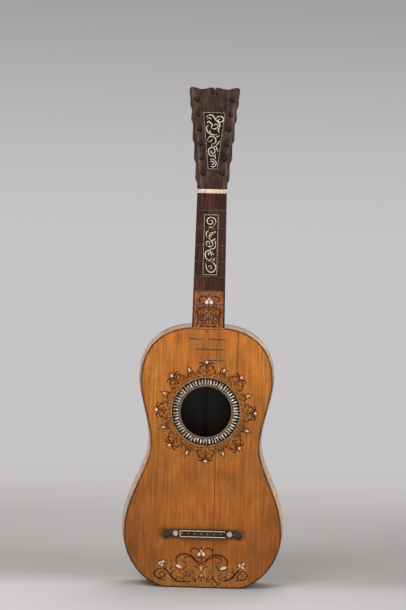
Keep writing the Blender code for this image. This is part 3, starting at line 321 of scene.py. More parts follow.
# Woods. Sizes are in mm and run across the grain, lengths along it. streak is the soft tone along the grain,
# with its length; ring the yearly line, with its depth; pore the open vessel, with its length and depth;
# blotch and flame a size and a depth
woods = {
    # quarter-sawn spruce under aged amber varnish: even fine lines; orange above and browner below is painted
    # light
    "agedSpruce": {"tones": ("#955a20", "#a86623", "#b97631"), "streak": (3.6, 60), "ring": (2.0, 0.13),
                   "pore": (0.6, 7, 0.16), "blotch": (26, 0.16), "roughness": 0.42, "relief": 0.03},
    # the same spruce on the neck, redder and darker under more varnish
    "neckSpruce": {"tones": ("#7e4423", "#99572d", "#ad6838"), "streak": (4, 30), "ring": (1.2, 0.14),
                   "pore": (0.5, 5, 0.25), "blotch": (9, 0.25), "roughness": 0.45, "relief": 0.03},
    # plain maple back, planed and varnished: pale warm brown with a soft cross flame
    "varnishedMaple": {"tones": ("#a9764a", "#bd8a5c", "#cc9d70"), "streak": (14, 160), "ring": (3.0, 0.1),
                       "pore": (0.4, 3, 0.12), "blotch": (120, 0.15), "flame": (9, 0.22),
                       "roughness": 0.36, "relief": 0.02},
    # the ribs, cut from paler stuff
    "paleMaple": {"tones": ("#bd9171", "#d1a685", "#dfba9b"), "streak": (14, 160), "ring": (3.0, 0.1),
                  "pore": (0.4, 3, 0.12), "blotch": (90, 0.12), "flame": (9, 0.18), "roughness": 0.4,
                  "relief": 0.02},
    # Spanish cedar neck and head core, carved: reddish brown with open pores
    "carvedCedar": {"tones": ("#5a3a28", "#6b4732", "#7a5540"), "streak": (6, 150), "ring": (2.2, 0.14),
                    "pore": (0.35, 5, 0.3), "blotch": (60, 0.16), "roughness": 0.55, "relief": 0.04,
                    "shine": 0.2},
    # rosewood fingerboard, oiled: dark red brown with near black lines
    "oiledRosewood": {"tones": ("#28110b", "#401e14", "#5a2f1e"), "streak": (4, 45), "ring": (1.8, 0.28),
                      "pore": (0.35, 5, 0.4), "blotch": (24, 0.3), "roughness": 0.46, "relief": 0.04},
    # rosewood head front, worn and dry: greyer and softer than the fingerboard
    "wornRosewood": {"tones": ("#27170f", "#3a261c", "#523b2e"), "streak": (4.5, 60), "ring": (1.8, 0.26),
                     "pore": (0.4, 6, 0.35), "blotch": (20, 0.38), "roughness": 0.55, "relief": 0.05,
                     "shine": 0.16},
    # ebonised bridge and edge strips, scraped smooth: brown black with a low sheen
    "polishedEbony": {"tones": ("#1f1510", "#2f231b", "#46372b"), "streak": (2.5, 9), "ring": (1.2, 0.2),
                      "pore": (0.3, 3, 0.2), "blotch": (30, 0.2), "roughness": 0.4, "relief": 0.02},
    # dark stained edge strips round the body, worn at the arris
    "stainedEdging": {"tones": ("#47301f", "#5f412b", "#7a573a"), "streak": (5, 40), "ring": (1.5, 0.15),
                      "pore": (0.4, 4, 0.2), "blotch": (22, 0.3), "roughness": 0.42, "relief": 0.03},
    # the same strips in front, rubbed thin and brown by the player's arm
    "rubbedEdging": {"tones": ("#4a2c18", "#6b4327", "#8a5c38"), "streak": (5, 30), "ring": (1.5, 0.15),
                     "pore": (0.4, 4, 0.2), "blotch": (18, 0.3), "roughness": 0.45, "relief": 0.03},
    # the thin inner ring round the sound hole, of pale veneer
    "paleVeneer": {"tones": ("#6a503b", "#7f644b", "#97795c"), "streak": (5, 20), "ring": (1.2, 0.12),
                   "pore": (0.4, 3, 0.15), "blotch": (14, 0.22), "roughness": 0.45, "relief": 0.02},
    # the outer ring, under more varnish
    "warmVeneer": {"tones": ("#7c5738", "#94694a", "#ab8260"), "streak": (5, 20), "ring": (1.2, 0.12),
                   "pore": (0.4, 3, 0.15), "blotch": (14, 0.3), "roughness": 0.45, "relief": 0.02},
    # unvarnished pine inside, browned by age
    "barePine": {"tones": ("#7a5d40", "#8b6c4c", "#9a7b59"), "streak": (8, 120), "ring": (2.5, 0.2),
                 "pore": (0.5, 8, 0.1), "blotch": (60, 0.15), "roughness": 0.7, "relief": 0.05},
    # stained pear pegs, turned: fine and even, almost without grain
    "turnedPear": {"tones": ("#281b14", "#382820", "#4a382d"), "streak": (3, 18), "ring": (1.2, 0.12),
                   "pore": (0.25, 2, 0.15), "blotch": (9, 0.25), "roughness": 0.55, "relief": 0.02,
                   "shine": 0.12},
}

grainNoise = {
    # detail, offset and roughness of each noise; the offset, times spread for each axis, keeps the layers
    # from falling together
    "noise": {"streak": (3.0, 3.1, 0.55), "ring": (1.5, 7.7, 0.55), "blotch": (2.0, 5.9, 0.55),
              "flame": (2.0, 0.0, 0.5), "pore": (1.0, 1.3, 0.55)},
    # from where to where each is read
    "range": {"ring": (0.35, 0.65), "blotch": (0.3, 0.7), "flame": (0.35, 0.65), "pore": (0.42, 0.3)},
    "spread": (1.0, 1.7, 2.3),
    "toneStops": (0.3, 0.5, 0.7),
    "ringLength": 110, "blotchLength": 1.4,      # how far they run along the grain against their width
    "flameWidth": 70,                            # mm
    "gloss": (-0.07, 0.08),                      # how far the roughness swings about its middle
}


def woodColour(tree, coords, look):
    # tone, roughness and relief of a wood whose grain runs along Z
    def grain(layer, across, along):
        detail, offset, roughness = grainNoise["noise"][layer]
        place = addNode(tree, "ShaderNodeMapping", {
            "Vector": coords["Object"], "Location": [offset * share for share in grainNoise["spread"]],
            "Scale": (1 / (across * mm), 1 / (across * mm), 1 / (along * mm))})
        return addNode(tree, "ShaderNodeTexNoise", {"Vector": place, "Scale": 1.0, "Detail": detail,
                                                    "Roughness": roughness})
    tone = addNode(tree, "ShaderNodeValToRGB", {"Fac": grain("streak", *look["streak"])},
                   stops=list(zip(grainNoise["toneStops"], look["tones"])))
    width, length, poreDepth = look["pore"]
    ring, blotch = look["ring"][0], look["blotch"][0]
    layers = {"ring": grain("ring", ring, ring * grainNoise["ringLength"]),
              "blotch": grain("blotch", blotch, blotch * grainNoise["blotchLength"])}
    if "flame" in look:
        # flame runs across the grain, so along a rib it stands square to the edge
        layers["flame"] = grain("flame", grainNoise["flameWidth"], look["flame"][0])
    for layer, source in layers.items():
        (low, high), depth = grainNoise["range"][layer], look[layer][1]
        shade = addNode(tree, "ShaderNodeMapRange", {"Value": source, "From Min": low, "From Max": high,
                                                     "To Min": 1 - depth, "To Max": 1 + depth})
        tone = addNode(tree, "ShaderNodeVectorMath", {0: tone, 3: shade}, operation="SCALE")
    low, high = grainNoise["range"]["pore"]
    pores = addNode(tree, "ShaderNodeMapRange", {"Value": grain("pore", width, length), "From Min": low,
                                                 "From Max": high})
    tone = shaded(tree, tone, pores, poreDepth)
    height = addNode(tree, "ShaderNodeMath", {0: layers["ring"], 1: pores}, operation="SUBTRACT")
    (low, high), (glossy, matt) = grainNoise["range"]["blotch"], grainNoise["gloss"]
    rough = addNode(tree, "ShaderNodeMapRange", {
        "Value": layers["blotch"], "From Min": low, "From Max": high,
        "To Min": look["roughness"] + glossy, "To Max": look["roughness"] + matt})
    return tone, rough, height


# The soundboard's own marks, with light and shade painted on it, in mm from its centre line and its tail
board = {
    # painted light: a tone by height, lighter towards the top as the light falls from above, which times lift
    # is what it multiplies the wood by
    "heights": ((0, "#8c877a"), (60, "#8f8879"), (130, "#9c9382"), (200, "#969187"), (300, "#9b9a98"),
                (380, "#a9a7a0"), (450, "#b4b0a8")),
    "lift": 3.0,
    "edgeWidth": 11, "edgeDepth": 0.14, "edgeSteps": 14,
    # darker towards the sides of the lower bout, in shares of the half width and of the height
    "bout": {"depth": 0.26, "across": (0.4, 1.0), "up": (0.6, 0.35)},
    "silk": {"height": 1.6, "width": 7, "range": (0.4, 0.65), "depth": 0.07},     # cross mottle
    # across, from, to, width, depth: the split below the sound hole and the joints of the boards
    "lines": ((18.9, 3, 262, 0.9, 0.74), (53.0, 372, 450, 1.0, 0.72), (-31.0, 388, 448, 0.6, 0.42),
              (-62.0, 120, 250, 0.5, 0.22), (78.0, 90, 260, 0.5, 0.2), (4.0, 104, 250, 0.4, 0.2)),
    "wander": {"size": 22.2222, "range": (0.3, 0.7), "shift": 0.6},               # of these lines
    # across, up, half width, half height, and what the varnish is multiplied by: the painted shadow round the
    # bridge, the redder ground of the let-in frets, and the rubbed ground of the tail ornament
    "patches": ((0, 96, 74, 7, (0.56, 0.58, 0.6)), (-1, 424, 31, 30, (0.8, 0.8, 1.06)),
                (0, 20, 78, 20, (1.13, 1.36, 2.3))),
    "patchFade": (6, -1),                                                         # outside and inside
    "blush": {"size": 38, "range": (0.45, 0.65), "factor": (1.03, 0.93, 0.84)},   # redder clouds
    # round the sound hole the varnish is browner: none past the first radius, full to the second
    "stain": {"radii": (92, 62), "factor": (0.87, 0.89, 0.98)},
    "stipple": {"size": 2.2, "range": (0.42, 0.62), "low": -0.5, "depth": 0.42},  # ground among the scrolls
    # pale line at the edge of the sound hole: radii of its arris, painted black as shade, and its outer edge
    "holeLine": {"arris": 44.8, "edge": 45.6, "fade": 0.2, "tone": "#8a7862"},
    "cut": {"range": (0.7, 0.3), "depth": 0.85},      # painted shade on cut faces, by how far a face looks out of the board
}


def mottled(tree, coords, axes, tone, mask=1.0):
    # the ground among the scrolls, spotted with old mastic and rubbed varnish
    look = board["stipple"]
    low, high = look["range"]
    grit = addNode(tree, "ShaderNodeTexNoise", {"Vector": coords["Object"], "Scale": 1 / (look["size"] * mm),
                                                "Detail": 2.0})
    spots = addNode(tree, "ShaderNodeMapRange", {"Value": grit, "From Min": low, "From Max": high,
                                                 "To Min": look["low"]})
    spots = addNode(tree, "ShaderNodeMath", {0: spots, 1: mask}, operation="MULTIPLY")
    return shaded(tree, tone, spots, look["depth"])


def halfWidths(node, steps):
    # (height, half width) of a node's outline, in metres, from the frame
    points = [v.co for v in nodes[node].data.vertices]
    top = max(c.z for c in points)
    heights = [top * i / steps for i in range(steps + 1)]
    return [(h, max(abs(c.x) for c in points if abs(c.z - h) < top / steps)) for h in heights]


# painted light: the soundboard lighter towards the top, where the light falls from above
def paintedTopLight(tree, height, tone):
    top = board["heights"][-1][0] * mm
    share = addNode(tree, "ShaderNodeMath", {0: height, 1: top}, operation="DIVIDE")
    varnish = addNode(tree, "ShaderNodeValToRGB", {"Fac": share},
                      stops=[(h * mm / top, colour) for h, colour in board["heights"]])
    lifted = addNode(tree, "ShaderNodeVectorMath", {0: varnish, 3: board["lift"]}, operation="SCALE")
    return addNode(tree, "ShaderNodeVectorMath", {0: tone, 1: lifted}, operation="MULTIPLY")


def edgeDirt(tree, side, height, tone):
    # darker where hands and dirt reach, along the edge and on the sides of the lower bout
    widths = halfWidths("soundboard", board["edgeSteps"])
    widest = max(w for h, w in widths)
    top = widths[-1][0]
    share = addNode(tree, "ShaderNodeMath", {0: height, 1: top}, operation="DIVIDE")
    outline = addNode(tree, "ShaderNodeValToRGB", {"Fac": share},
                      stops=[(h / top, (w / widest,) * 3 + (1,)) for h, w in widths])
    reach = addNode(tree, "ShaderNodeMath", {0: outline, 1: widest}, operation="MULTIPLY")
    away = addNode(tree, "ShaderNodeMath", {0: side}, operation="ABSOLUTE")
    inset = addNode(tree, "ShaderNodeMath", {0: reach, 1: away}, operation="SUBTRACT")
    rim = addNode(tree, "ShaderNodeMapRange", {"Value": inset, "From Min": board["edgeWidth"] * mm,
                                               "From Max": 0.0})
    tone = shaded(tree, tone, rim, board["edgeDepth"])
    bout = board["bout"]
    out = maskBy(tree, side, 0, [share * widest / mm for share in bout["across"]])
    low = maskBy(tree, height, 0, [share * board["heights"][-1][0] for share in bout["up"]])
    both = addNode(tree, "ShaderNodeMath", {0: out, 1: low}, operation="MULTIPLY")
    return shaded(tree, tone, both, bout["depth"])


def crossSilk(tree, coords, tone):
    look = board["silk"]
    low, high = look["range"]
    place = addNode(tree, "ShaderNodeMapping", {"Vector": coords["Object"], "Scale": (
        1 / (look["width"] * mm), 1 / (look["width"] * mm), 1 / (look["height"] * mm))})
    silk = addNode(tree, "ShaderNodeTexNoise", {"Vector": place, "Scale": 1.0, "Detail": 2.0})
    swing = addNode(tree, "ShaderNodeMapRange", {"Value": silk, "From Min": low, "From Max": high,
                                                 "To Min": -1.0, "To Max": 1.0})
    return shaded(tree, tone, swing, look["depth"])


def splitLines(tree, coords, side, height, tone):
    look = board["wander"]
    low, high = look["range"]
    wander = addNode(tree, "ShaderNodeTexNoise", {
        "Vector": coords["Object"], "Scale": 1 / (look["size"] * mm), "Detail": 2.0})
    shift = addNode(tree, "ShaderNodeMapRange", {
        "Value": wander, "From Min": low, "From Max": high,
        "To Min": -look["shift"] * mm, "To Max": look["shift"] * mm})
    moved = addNode(tree, "ShaderNodeMath", {0: side, 1: shift}, operation="ADD")
    for x, foot, head, width, depth in board["lines"]:
        near = maskBy(tree, moved, x * mm, (width, width / 3))
        middle, half = (foot + head) / 2 * mm, (head - foot) / 2 * mm
        up = addNode(tree, "ShaderNodeMath", {0: height, 1: middle, 2: half}, operation="COMPARE")
        mask = addNode(tree, "ShaderNodeMath", {0: near, 1: up}, operation="MULTIPLY")
        tone = shaded(tree, tone, mask, depth)
    return tone


def boardStains(tree, coords, axes, radius, tone):
    # browner round the sound hole, redder clouds, and the patches, the first a painted shadow round the
    # bridge
    size, (low, high) = board["blush"]["size"], board["blush"]["range"]
    cloud = addNode(tree, "ShaderNodeTexNoise", {
        "Vector": coords["Object"], "Scale": 1 / (size * mm), "Detail": 3.0})
    cloudy = addNode(tree, "ShaderNodeMapRange", {"Value": cloud, "From Min": low, "From Max": high})
    masks = [(maskBy(tree, radius, 0, board["stain"]["radii"]), board["stain"]["factor"]),
             (cloudy, board["blush"]["factor"])]
    outside, inside = board["patchFade"]
    for across, level, halfWidth, halfHeight, factor in board["patches"]:
        reaches = ((axes["X"], across, halfWidth), (axes["Z"], level, halfHeight))
        beside, above = [maskBy(tree, axis, centre * mm, (half + outside, half + inside))
                         for axis, centre, half in reaches]
        both = addNode(tree, "ShaderNodeMath", {0: beside, 1: above}, operation="MULTIPLY")
        masks.append((both, factor))
    scrolled = addNode(tree, "ShaderNodeMath", {0: masks[0][0], 1: masks[-1][0]}, operation="MAXIMUM")
    tone = mottled(tree, coords, axes, tone, scrolled)
    for mask, factor in masks:
        tone = tinted(tree, tone, mask, factor)
    return tone


def boardMarks(tree, coords, axes, tone):
    tone = paintedTopLight(tree, axes["Z"], tone)
    tone = edgeDirt(tree, axes["X"], axes["Z"], tone)
    tone = crossSilk(tree, coords, tone)
    tone = splitLines(tree, coords, axes["X"], axes["Z"], tone)
    radius = addNode(tree, "ShaderNodeVectorMath", {0: coords["Object"], 1: (0, faceY, holeHeight)},
                     operation="DISTANCE").outputs["Value"]
    tone = boardStains(tree, coords, axes, radius, tone)
    # a pale line at the edge of the sound hole, its arris painted black as shade
    look = board["holeLine"]
    pale, black = [maskBy(tree, radius, 0, (look[end] + look["fade"], look[end] - look["fade"]))
                   for end in ("edge", "arris")]
    tone = addNode(tree, "ShaderNodeMix", {"Factor": pale, 6: tone, 7: linear(look["tone"])},
                   data_type="RGBA").outputs[2]
    tone = shaded(tree, tone, black, board["cut"]["depth"])
    # painted shade: cut edges of the board inside the sound hole are darkened
    facing = addNode(tree, "ShaderNodeSeparateXYZ", {0: coords["Normal"]}).outputs["Y"]
    flat = addNode(tree, "ShaderNodeMath", {0: facing}, operation="ABSOLUTE")
    low, high = board["cut"]["range"]
    cut = addNode(tree, "ShaderNodeMapRange", {"Value": flat, "From Min": low, "From Max": high})
    return shaded(tree, tone, cut, board["cut"]["depth"])


# Wear of the other pieces, and painted shade inside the box and on the rib shoulders. heights, margin, rim
# and rear (behind the face) are ranges in mm over which a mark sets in, and a depth is how much it darkens
wear = {
    "inside": {"facing": (-0.3, -0.7), "depth": 0.965},
    "shoulder": {"heights": (434, 452), "depth": 0.45, "rear": (50, 64), "rearDepth": 0.55},
    "bleach": (1.08, 1.11, 1.16),
    # the head's margin: how far it lies from the centre line at the foot, and how much farther for each mm up
    "head": {"centre": 1.0, "slope": 0.118, "margin": (13, 19), "factor": (2.4, 2.8, 3.2),
             "rim": (18.5, 22), "rimDepth": 0.55},
    "fingerboard": {"taper": 2.0, "rim": (2.4, 1.2), "depth": 0.45},
    "foot": {"heights": (90, 25), "depth": 0.6},
}


def paintedInsideShade(tree, coords, axes, tone):
    # painted shade inside the box: the inner faces of ribs and back, unvarnished, darkened near to black
    facing = addNode(tree, "ShaderNodeSeparateXYZ", {0: coords["Normal"]}).outputs["Y"]
    low, high = wear["inside"]["facing"]
    inner = addNode(tree, "ShaderNodeMapRange", {"Value": facing, "From Min": low, "From Max": high})
    return shaded(tree, tone, inner, wear["inside"]["depth"])


def ribMarks(tree, coords, axes, tone):
    # painted shade: the shoulders by the heel are darker, most of all near the back
    look = wear["shoulder"]
    tone = paintedInsideShade(tree, coords, axes, tone)
    high, rear = maskBy(tree, axes["Z"], 0, look["heights"]), maskBy(tree, axes["Y"], faceY, look["rear"])
    both = addNode(tree, "ShaderNodeMath", {0: high, 1: rear}, operation="MULTIPLY")
    tone = shaded(tree, shaded(tree, tone, high, look["depth"]), both, look["rearDepth"])
    # paler and less yellow towards the back, where the varnish is worn off
    back = addNode(tree, "ShaderNodeMapRange", {"Value": axes["Y"], "From Min": faceY, "From Max": -faceY})
    return tinted(tree, tone, back, wear["bleach"])


def headWear(tree, coords, axes, tone):
    # handled margins outside the pegs, worn to a lighter olive brown, and dark again at the rim
    look = wear["head"]
    up = addNode(tree, "ShaderNodeMath", {0: axes["Z"], 1: headFoot}, operation="SUBTRACT")
    lean = addNode(tree, "ShaderNodeMath", {0: up, 1: look["slope"]}, operation="MULTIPLY")
    away = gapTo(tree, axes["X"], look["centre"] * mm)
    off = addNode(tree, "ShaderNodeMath", {0: away, 1: lean}, operation="SUBTRACT")
    margin, rim = [addNode(tree, "ShaderNodeMapRange", {"Value": off, "From Min": near * mm,
                                                        "From Max": far * mm})
                   for near, far in (look["margin"], look["rim"])]
    return shaded(tree, tinted(tree, tone, margin, look["factor"]), rim, look["rimDepth"])


def boardEdges(tree, coords, axes, tone):
    # both long edges of the fingerboard are black with handling
    look = wear["fingerboard"]
    foot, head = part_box("fingerboard")
    half = addNode(tree, "ShaderNodeMapRange", {
        "Value": axes["Z"], "From Min": foot[2], "From Max": head[2],
        "To Min": head[0], "To Max": head[0] - look["taper"] * mm})
    away = addNode(tree, "ShaderNodeMath", {0: axes["X"]}, operation="ABSOLUTE")
    return shaded(tree, tone, maskBy(tree, away, half, look["rim"]), look["depth"])


def footDark(tree, coords, axes, tone):
    # the front edge strip is black with dirt where the guitar stands
    return shaded(tree, tone, maskBy(tree, axes["Z"], 0, wear["foot"]["heights"]), wear["foot"]["depth"])


woodMarks = {"agedSpruce": boardMarks, "neckSpruce": mottled, "varnishedMaple": paintedInsideShade,
             "paleMaple": ribMarks, "stainedEdging": paintedInsideShade, "rubbedEdging": footDark,
             "oiledRosewood": boardEdges, "wornRosewood": headWear}


def woodMaterial(name):
    look = woods[name]
    material, tree, shader = newMaterial(name, look["roughness"], IOR=1.5,
                                         Specular_IOR_Level=look.get("shine", 0.3))
    coords = addNode(tree, "ShaderNodeTexCoord").outputs
    tone, rough, height = woodColour(tree, coords, look)
    if name in woodMarks:
        axes = addNode(tree, "ShaderNodeSeparateXYZ", {0: coords["Object"]}).outputs
        tone = woodMarks[name](tree, coords, axes, tone)
    intoShader(tree, shader, tone, height, look["relief"], rough)
    return material


# Finishes with clouds or streaks. Sizes and relief are in mm; three sizes run across, out and up the guitar
finishes = {
    # bone, sawn and scraped: warm cream with fine grey pores along it and a soft shine
    "scrapedBone": {"size": (2.2222, 2.2222, 11.1111),
                    "stops": ((0.3, "#ac8d6b"), (0.45, "#e2ccac"), (0.7, "#f8e9d4")),
                    "roughness": 0.38, "detail": 3.0, "distortion": 0.0, "shader": {"IOR": 1.54}},
    # bone curls of the head, greyed by handling
    "greyedBone": {"size": 3.0, "stops": ((0.34, "#96886f"), (0.48, "#c9bda3"), (0.64, "#ece3cd")),
                   "roughness": 0.4, "shader": {"IOR": 1.54}},
    # thin bone edging of the panels, grey with dirt and broken at places
    "wornBoneLine": {"size": 2.2, "stops": ((0.3, "#4a382c"), (0.5, "#8a7462"), (0.7, "#b7a48f")),
                     "roughness": 0.45, "shader": {"IOR": 1.54}},
    # the same edging on the fingerboard, cleaner
    "creamBoneLine": {"size": 2.2, "stops": ((0.3, "#765f4e"), (0.5, "#ab927c"), (0.7, "#cdb69f")),
                      "roughness": 0.45, "shader": {"IOR": 1.54}},
    # mother-of-pearl, cut and polished: milky white with patches that turn grey, pink or green
    "polishedPearl": {"size": 3.5,
                      "stops": ((0.3, "#a79c92"), (0.42, "#d9d0c2"), (0.55, "#efe9dd"), (0.68, "#c3c4b2")),
                      "roughness": 0.22, "distortion": 1.2, "relief": 0.01, "shader": {"IOR": 1.6}},
    # the tiles round the hole, white and grey in patches: a painted reflection, as if each tile were turned
    # another way
    "cutPearlTiles": {"size": 4.0, "stops": ((0.36, "#5f5343"), (0.5, "#b0a189"), (0.64, "#faf1de")),
                      "roughness": 0.25, "shader": {"IOR": 1.6}},
    # the two large discs of the bridge, dull grey with wear
    "dullPearl": {"size": 3.0, "stops": ((0.3, "#968e81"), (0.5, "#b0a898"), (0.7, "#cbc3b3")),
                  "roughness": 0.35, "shader": {"IOR": 1.6}},
    # a lozenge of pink shell, polished flat
    "pinkShell": {"size": 2.0, "stops": ((0.3, "#b08478"), (0.6, "#cfa898")),
                  "roughness": 0.28, "distortion": 0.0, "relief": 0, "shader": {"IOR": 1.6}},
    # dark filling of resin and lamp black, scraped level: matt brown black, thin and brown at places
    "scrapedMastic": {"size": 5.0, "stops": ((0.35, "#271206"), (0.58, "#40200c"), (0.78, "#71421a")),
                      "roughness": 0.6, "detail": 3.0, "distortion": 0.0, "relief": 0.03,
                      "shader": {"IOR": 1.5, "Specular_IOR_Level": 0.15}},
    # the same in the tail's and the neck's scrolls, rubbed thin so the wood shows through
    "rubbedMastic": {"size": 4.0, "stops": ((0.35, "#2b1407"), (0.55, "#45240e"), (0.75, "#70431b")),
                     "roughness": 0.6, "shader": {"IOR": 1.5, "Specular_IOR_Level": 0.15}},
    # the ground between the pearl tiles
    "blackMastic": {"size": 2.5, "stops": ((0.3, "#150b05"), (0.55, "#24150b"), (0.75, "#3f2817")),
                    "roughness": 0.5, "detail": 3.0, "distortion": 0.0, "relief": 0.03,
                    "shader": {"IOR": 1.5, "Specular_IOR_Level": 0.12}},
    # brass fret wire, worn and dulled: grey gold, scratched along the board
    "wornBrass": {"size": (1.1111, 3.3333, 5.0),
                  "stops": ((0.3, "#4e423a"), (0.55, "#74675d"), (0.75, "#9a8c80")),
                  "roughness": 0.42, "detail": 3.0, "distortion": 0.0, "shader": {"Metallic": 1.0}},
    # arrises of the bridge rubbed to brown, and lighter still as a painted highlight
    "rubbedEbony": {"size": 3.0, "stops": ((0.3, "#2c2019"), (0.5, "#54453a"), (0.7, "#8a7a6a")),
                    "roughness": 0.45, "shader": {"IOR": 1.5}},
    # wooden ground of the fingerboard's panel, reddish
    "rosewoodGround": {"size": 3.0, "stops": ((0.3, "#24120b"), (0.5, "#351c12"), (0.7, "#4d2b1b")),
                       "roughness": 0.5, "shader": {"IOR": 1.5, "Specular_IOR_Level": 0.15}},
    # stained ground of the head's panel, brown where the light catches it
    "stainedGround": {"size": (2.0, 2.0, 8.3333),
                      "stops": ((0.3, "#120a06"), (0.55, "#1d130c"), (0.75, "#33251a")),
                      "roughness": 0.5, "detail": 3.0, "distortion": 0.0, "relief": 0.04,
                      "shader": {"IOR": 1.5, "Specular_IOR_Level": 0.1}},
    # strips of dark wood let into the soundboard as frets, rubbed until the varnish shows through
    "rubbedStrip": {"size": (6.25, 6.25, 1.1111),
                    "stops": ((0.3, "#3c2a12"), (0.5, "#5c401c"), (0.72, "#86602c")),
                    "roughness": 0.5, "detail": 3.0, "distortion": 0.0, "relief": 0.03,
                    "shader": {"IOR": 1.5, "Specular_IOR_Level": 0.3}},
}


def cloudyMaterial(name):
    # tone and relief follow one noise
    look = finishes[name]
    material, tree, shader = newMaterial(name, look["roughness"], **look["shader"])
    size = look["size"] if isinstance(look["size"], tuple) else (look["size"],) * 3
    coords = addNode(tree, "ShaderNodeTexCoord").outputs["Object"]
    scale = [1 / (side * mm) for side in size]
    place = addNode(tree, "ShaderNodeMapping", {"Vector": coords, "Scale": scale})
    cloud = addNode(tree, "ShaderNodeTexNoise", {
        "Vector": place, "Scale": 1.0, "Detail": look.get("detail", 2.0),
        "Distortion": look.get("distortion", 0.6)})
    colour = addNode(tree, "ShaderNodeValToRGB", {"Fac": cloud}, stops=look["stops"])
    intoShader(tree, shader, colour, cloud, look.get("relief", 0.02))
    return material


looks = {name: woodMaterial(name) for name in woods}
looks.update({name: cloudyMaterial(name) for name in finishes})

# CAD nodes that show as they are
dressed = {
    "agedSpruce": ["soundboard"], "neckSpruce": ["neck_panel"], "rubbedEdging": ["tail_strip"],
    "barePine": ["tail_block", "neck_block", "soundboard_bar_upper", "soundboard_bar_lower", "back_bar_1",
                 "back_bar_2", "back_bar_3", "lining_front_left", "lining_front_right", "lining_back_left",
                 "lining_back_right"],
    "oiledRosewood": ["fingerboard"], "polishedEbony": ["neck_edge_left", "neck_edge_right"],
    "wornBoneLine": ["head_panel_frame"], "creamBoneLine": ["fingerboard_panel_frame"],
}


def dress(node, material):
    mesh = nodes[node].data
    if not mesh.materials:
        mesh.materials.append(material)
    for i in range(len(mesh.materials)):
        mesh.materials[i] = material


for look, names in dressed.items():
    for name in names:
        dress(name, looks[look])

print("eased copies")

# The photo shows a strip of rib outside the soundboard: the back is a little wider than the front. In mm,
# outwards at the back, low and high on the body; none nearer the middle than near, all of it past far
flare = {"low": 4.8, "high": 2.4, "lowTo": 330, "highFrom": 430, "near": 30, "far": 85}


def shareOf(value, low, high):
    return min(max((value - low) / (high - low), 0.0), 1.0)


def leanOut(work):
    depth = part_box("binding_back")[1][1] - faceY
    for v in work.verts:
        away = shareOf(abs(v.co.x) / mm, flare["near"], flare["far"])
        up = shareOf(v.co.z / mm, flare["lowTo"], flare["highFrom"])
        reach = flare["low"] + (flare["high"] - flare["low"]) * up
        share = away * away * (3 - 2 * away) * (v.co.y - faceY) / depth
        v.co.x += math.copysign(reach * mm * share, v.co.x)


# The two cord holes sit a little lower than in the solids and slope as they were drilled, so no light shows
# through. In mm, and the slope in mm for each mm
cordHoles = {"across": 3.6, "along": 168.2, "reach": 1.9, "lower": 2.0, "slope": 0.1}


def sinkHoles(work):
    along = Vector((0, math.sin(headTilt), math.cos(headTilt)))
    out = Vector((0, -math.cos(headTilt), math.sin(headTilt)))
    for v in work.verts:
        place = (v.co - Vector((0, faceY, headFoot))) / mm
        away = math.hypot(abs(place.x) - cordHoles["across"], place.dot(along) - cordHoles["along"])
        if away < cordHoles["reach"]:
            v.co -= along * (cordHoles["lower"] - cordHoles["slope"] * place.dot(out)) * mm


reshaped = {"head_core": sinkHoles, "head_veneer": sinkHoles, "rib_left": leanOut, "rib_right": leanOut,
            "binding_back": leanOut, "back_left": leanOut, "back_right": leanOut}
ease = {"merge": 0.01, "flat": 0.3, "segments": 2, "limit": 32}      # mm, degrees, count, degrees


def easedCopy(node, name, look, bevel, body="guitar", sharp=40):
    # a merged copy of a CAD node with its arrises eased and its curves shaded smooth
    work = bmesh.new()
    work.from_mesh(nodes[node].data)
    if node in reshaped:
        reshaped[node](work)
    bmesh.ops.remove_doubles(work, verts=work.verts, dist=ease["merge"] * mm)
    bmesh.ops.dissolve_limit(work, angle_limit=math.radians(ease["flat"]), verts=work.verts, edges=work.edges)
    mesh = fromBmesh(name, work, sharp)
    if bevel:
        holder = placeObject(name, mesh)
        modifier = holder.modifiers.new("ease", "BEVEL")
        modifier.width = bevel * mm
        modifier.segments = ease["segments"]
        modifier.limit_method = "ANGLE"
        modifier.angle_limit = math.radians(ease["limit"])
        modifier.use_clamp_overlap = True
        mesh = smoothed(takeMesh(holder), sharp)
    return ridePiece(name, mesh, looks[look], body, [node])


# node, finish, bevel in mm, slot
for node, look, bevel, slot in (
        ("rib_left", "paleMaple", 0, "rib_maple"),
        ("rib_right", "paleMaple", 0, "rib_maple"),
        ("back_left", "varnishedMaple", 0, "back_maple"),
        ("back_right", "varnishedMaple", 0, "back_maple"),
        ("binding_front", "rubbedEdging", 0.7, "rosewood_edge"),
        ("binding_back", "stainedEdging", 0.7, "rosewood_edge"),
        ("neck", "carvedCedar", 0.6, "neck_cedar"),
        ("heel_cap", "stainedEdging", 0.6, "rosewood_edge"),
        ("head_core", "carvedCedar", 0.8, "neck_cedar"),
        ("head_veneer", "wornRosewood", 0.7, "head_rosewood"),
        ("bridge", "polishedEbony", 0.4, "ebony"),
        ("nut", "scrapedBone", 0.25, "bone"),
        ("rosette_inner_ring", "paleVeneer", 0.2, "pale_line"),
        ("rosette_outer_ring", "warmVeneer", 0.2, "pale_line"),
        ("bridge_roundel_left", "dullPearl", 0.25, "pearl"),
        ("bridge_roundel_right", "dullPearl", 0.25, "pearl")):
    easedCopy(node, node + "_eased", look, bevel)
# the centre strip of the back fills its joints, so no light comes through them
stripFill = 0.4            # mm on each side
centreStrip = easedCopy("back_strip", "back_strip_glued", "stainedEdging", 0)
for point in centreStrip.data.vertices:
    point.co.x += math.copysign(stripFill * mm, point.co.x)
for number in range(1, 13):
    name = "peg_%02d" % number
    easedCopy(name, name + "_turned", "turnedPear", 0, body=name, sharp=50)

print("drawing tools")


def onFace(u, v, n):
    # mm across, up and out of the soundboard to the row frame
    return Vector((u * mm, faceY - n * mm, v * mm))


def onHead(u, s, n):
    # mm across, along and out of the head's face to the row frame
    return Vector((u * mm, faceY + (s * math.sin(headTilt) - n * math.cos(headTilt)) * mm,
                   headFoot + (s * math.cos(headTilt) + n * math.sin(headTilt)) * mm))


def flatPlace(u, v, n):
    return Vector((u * mm, v * mm, n * mm))


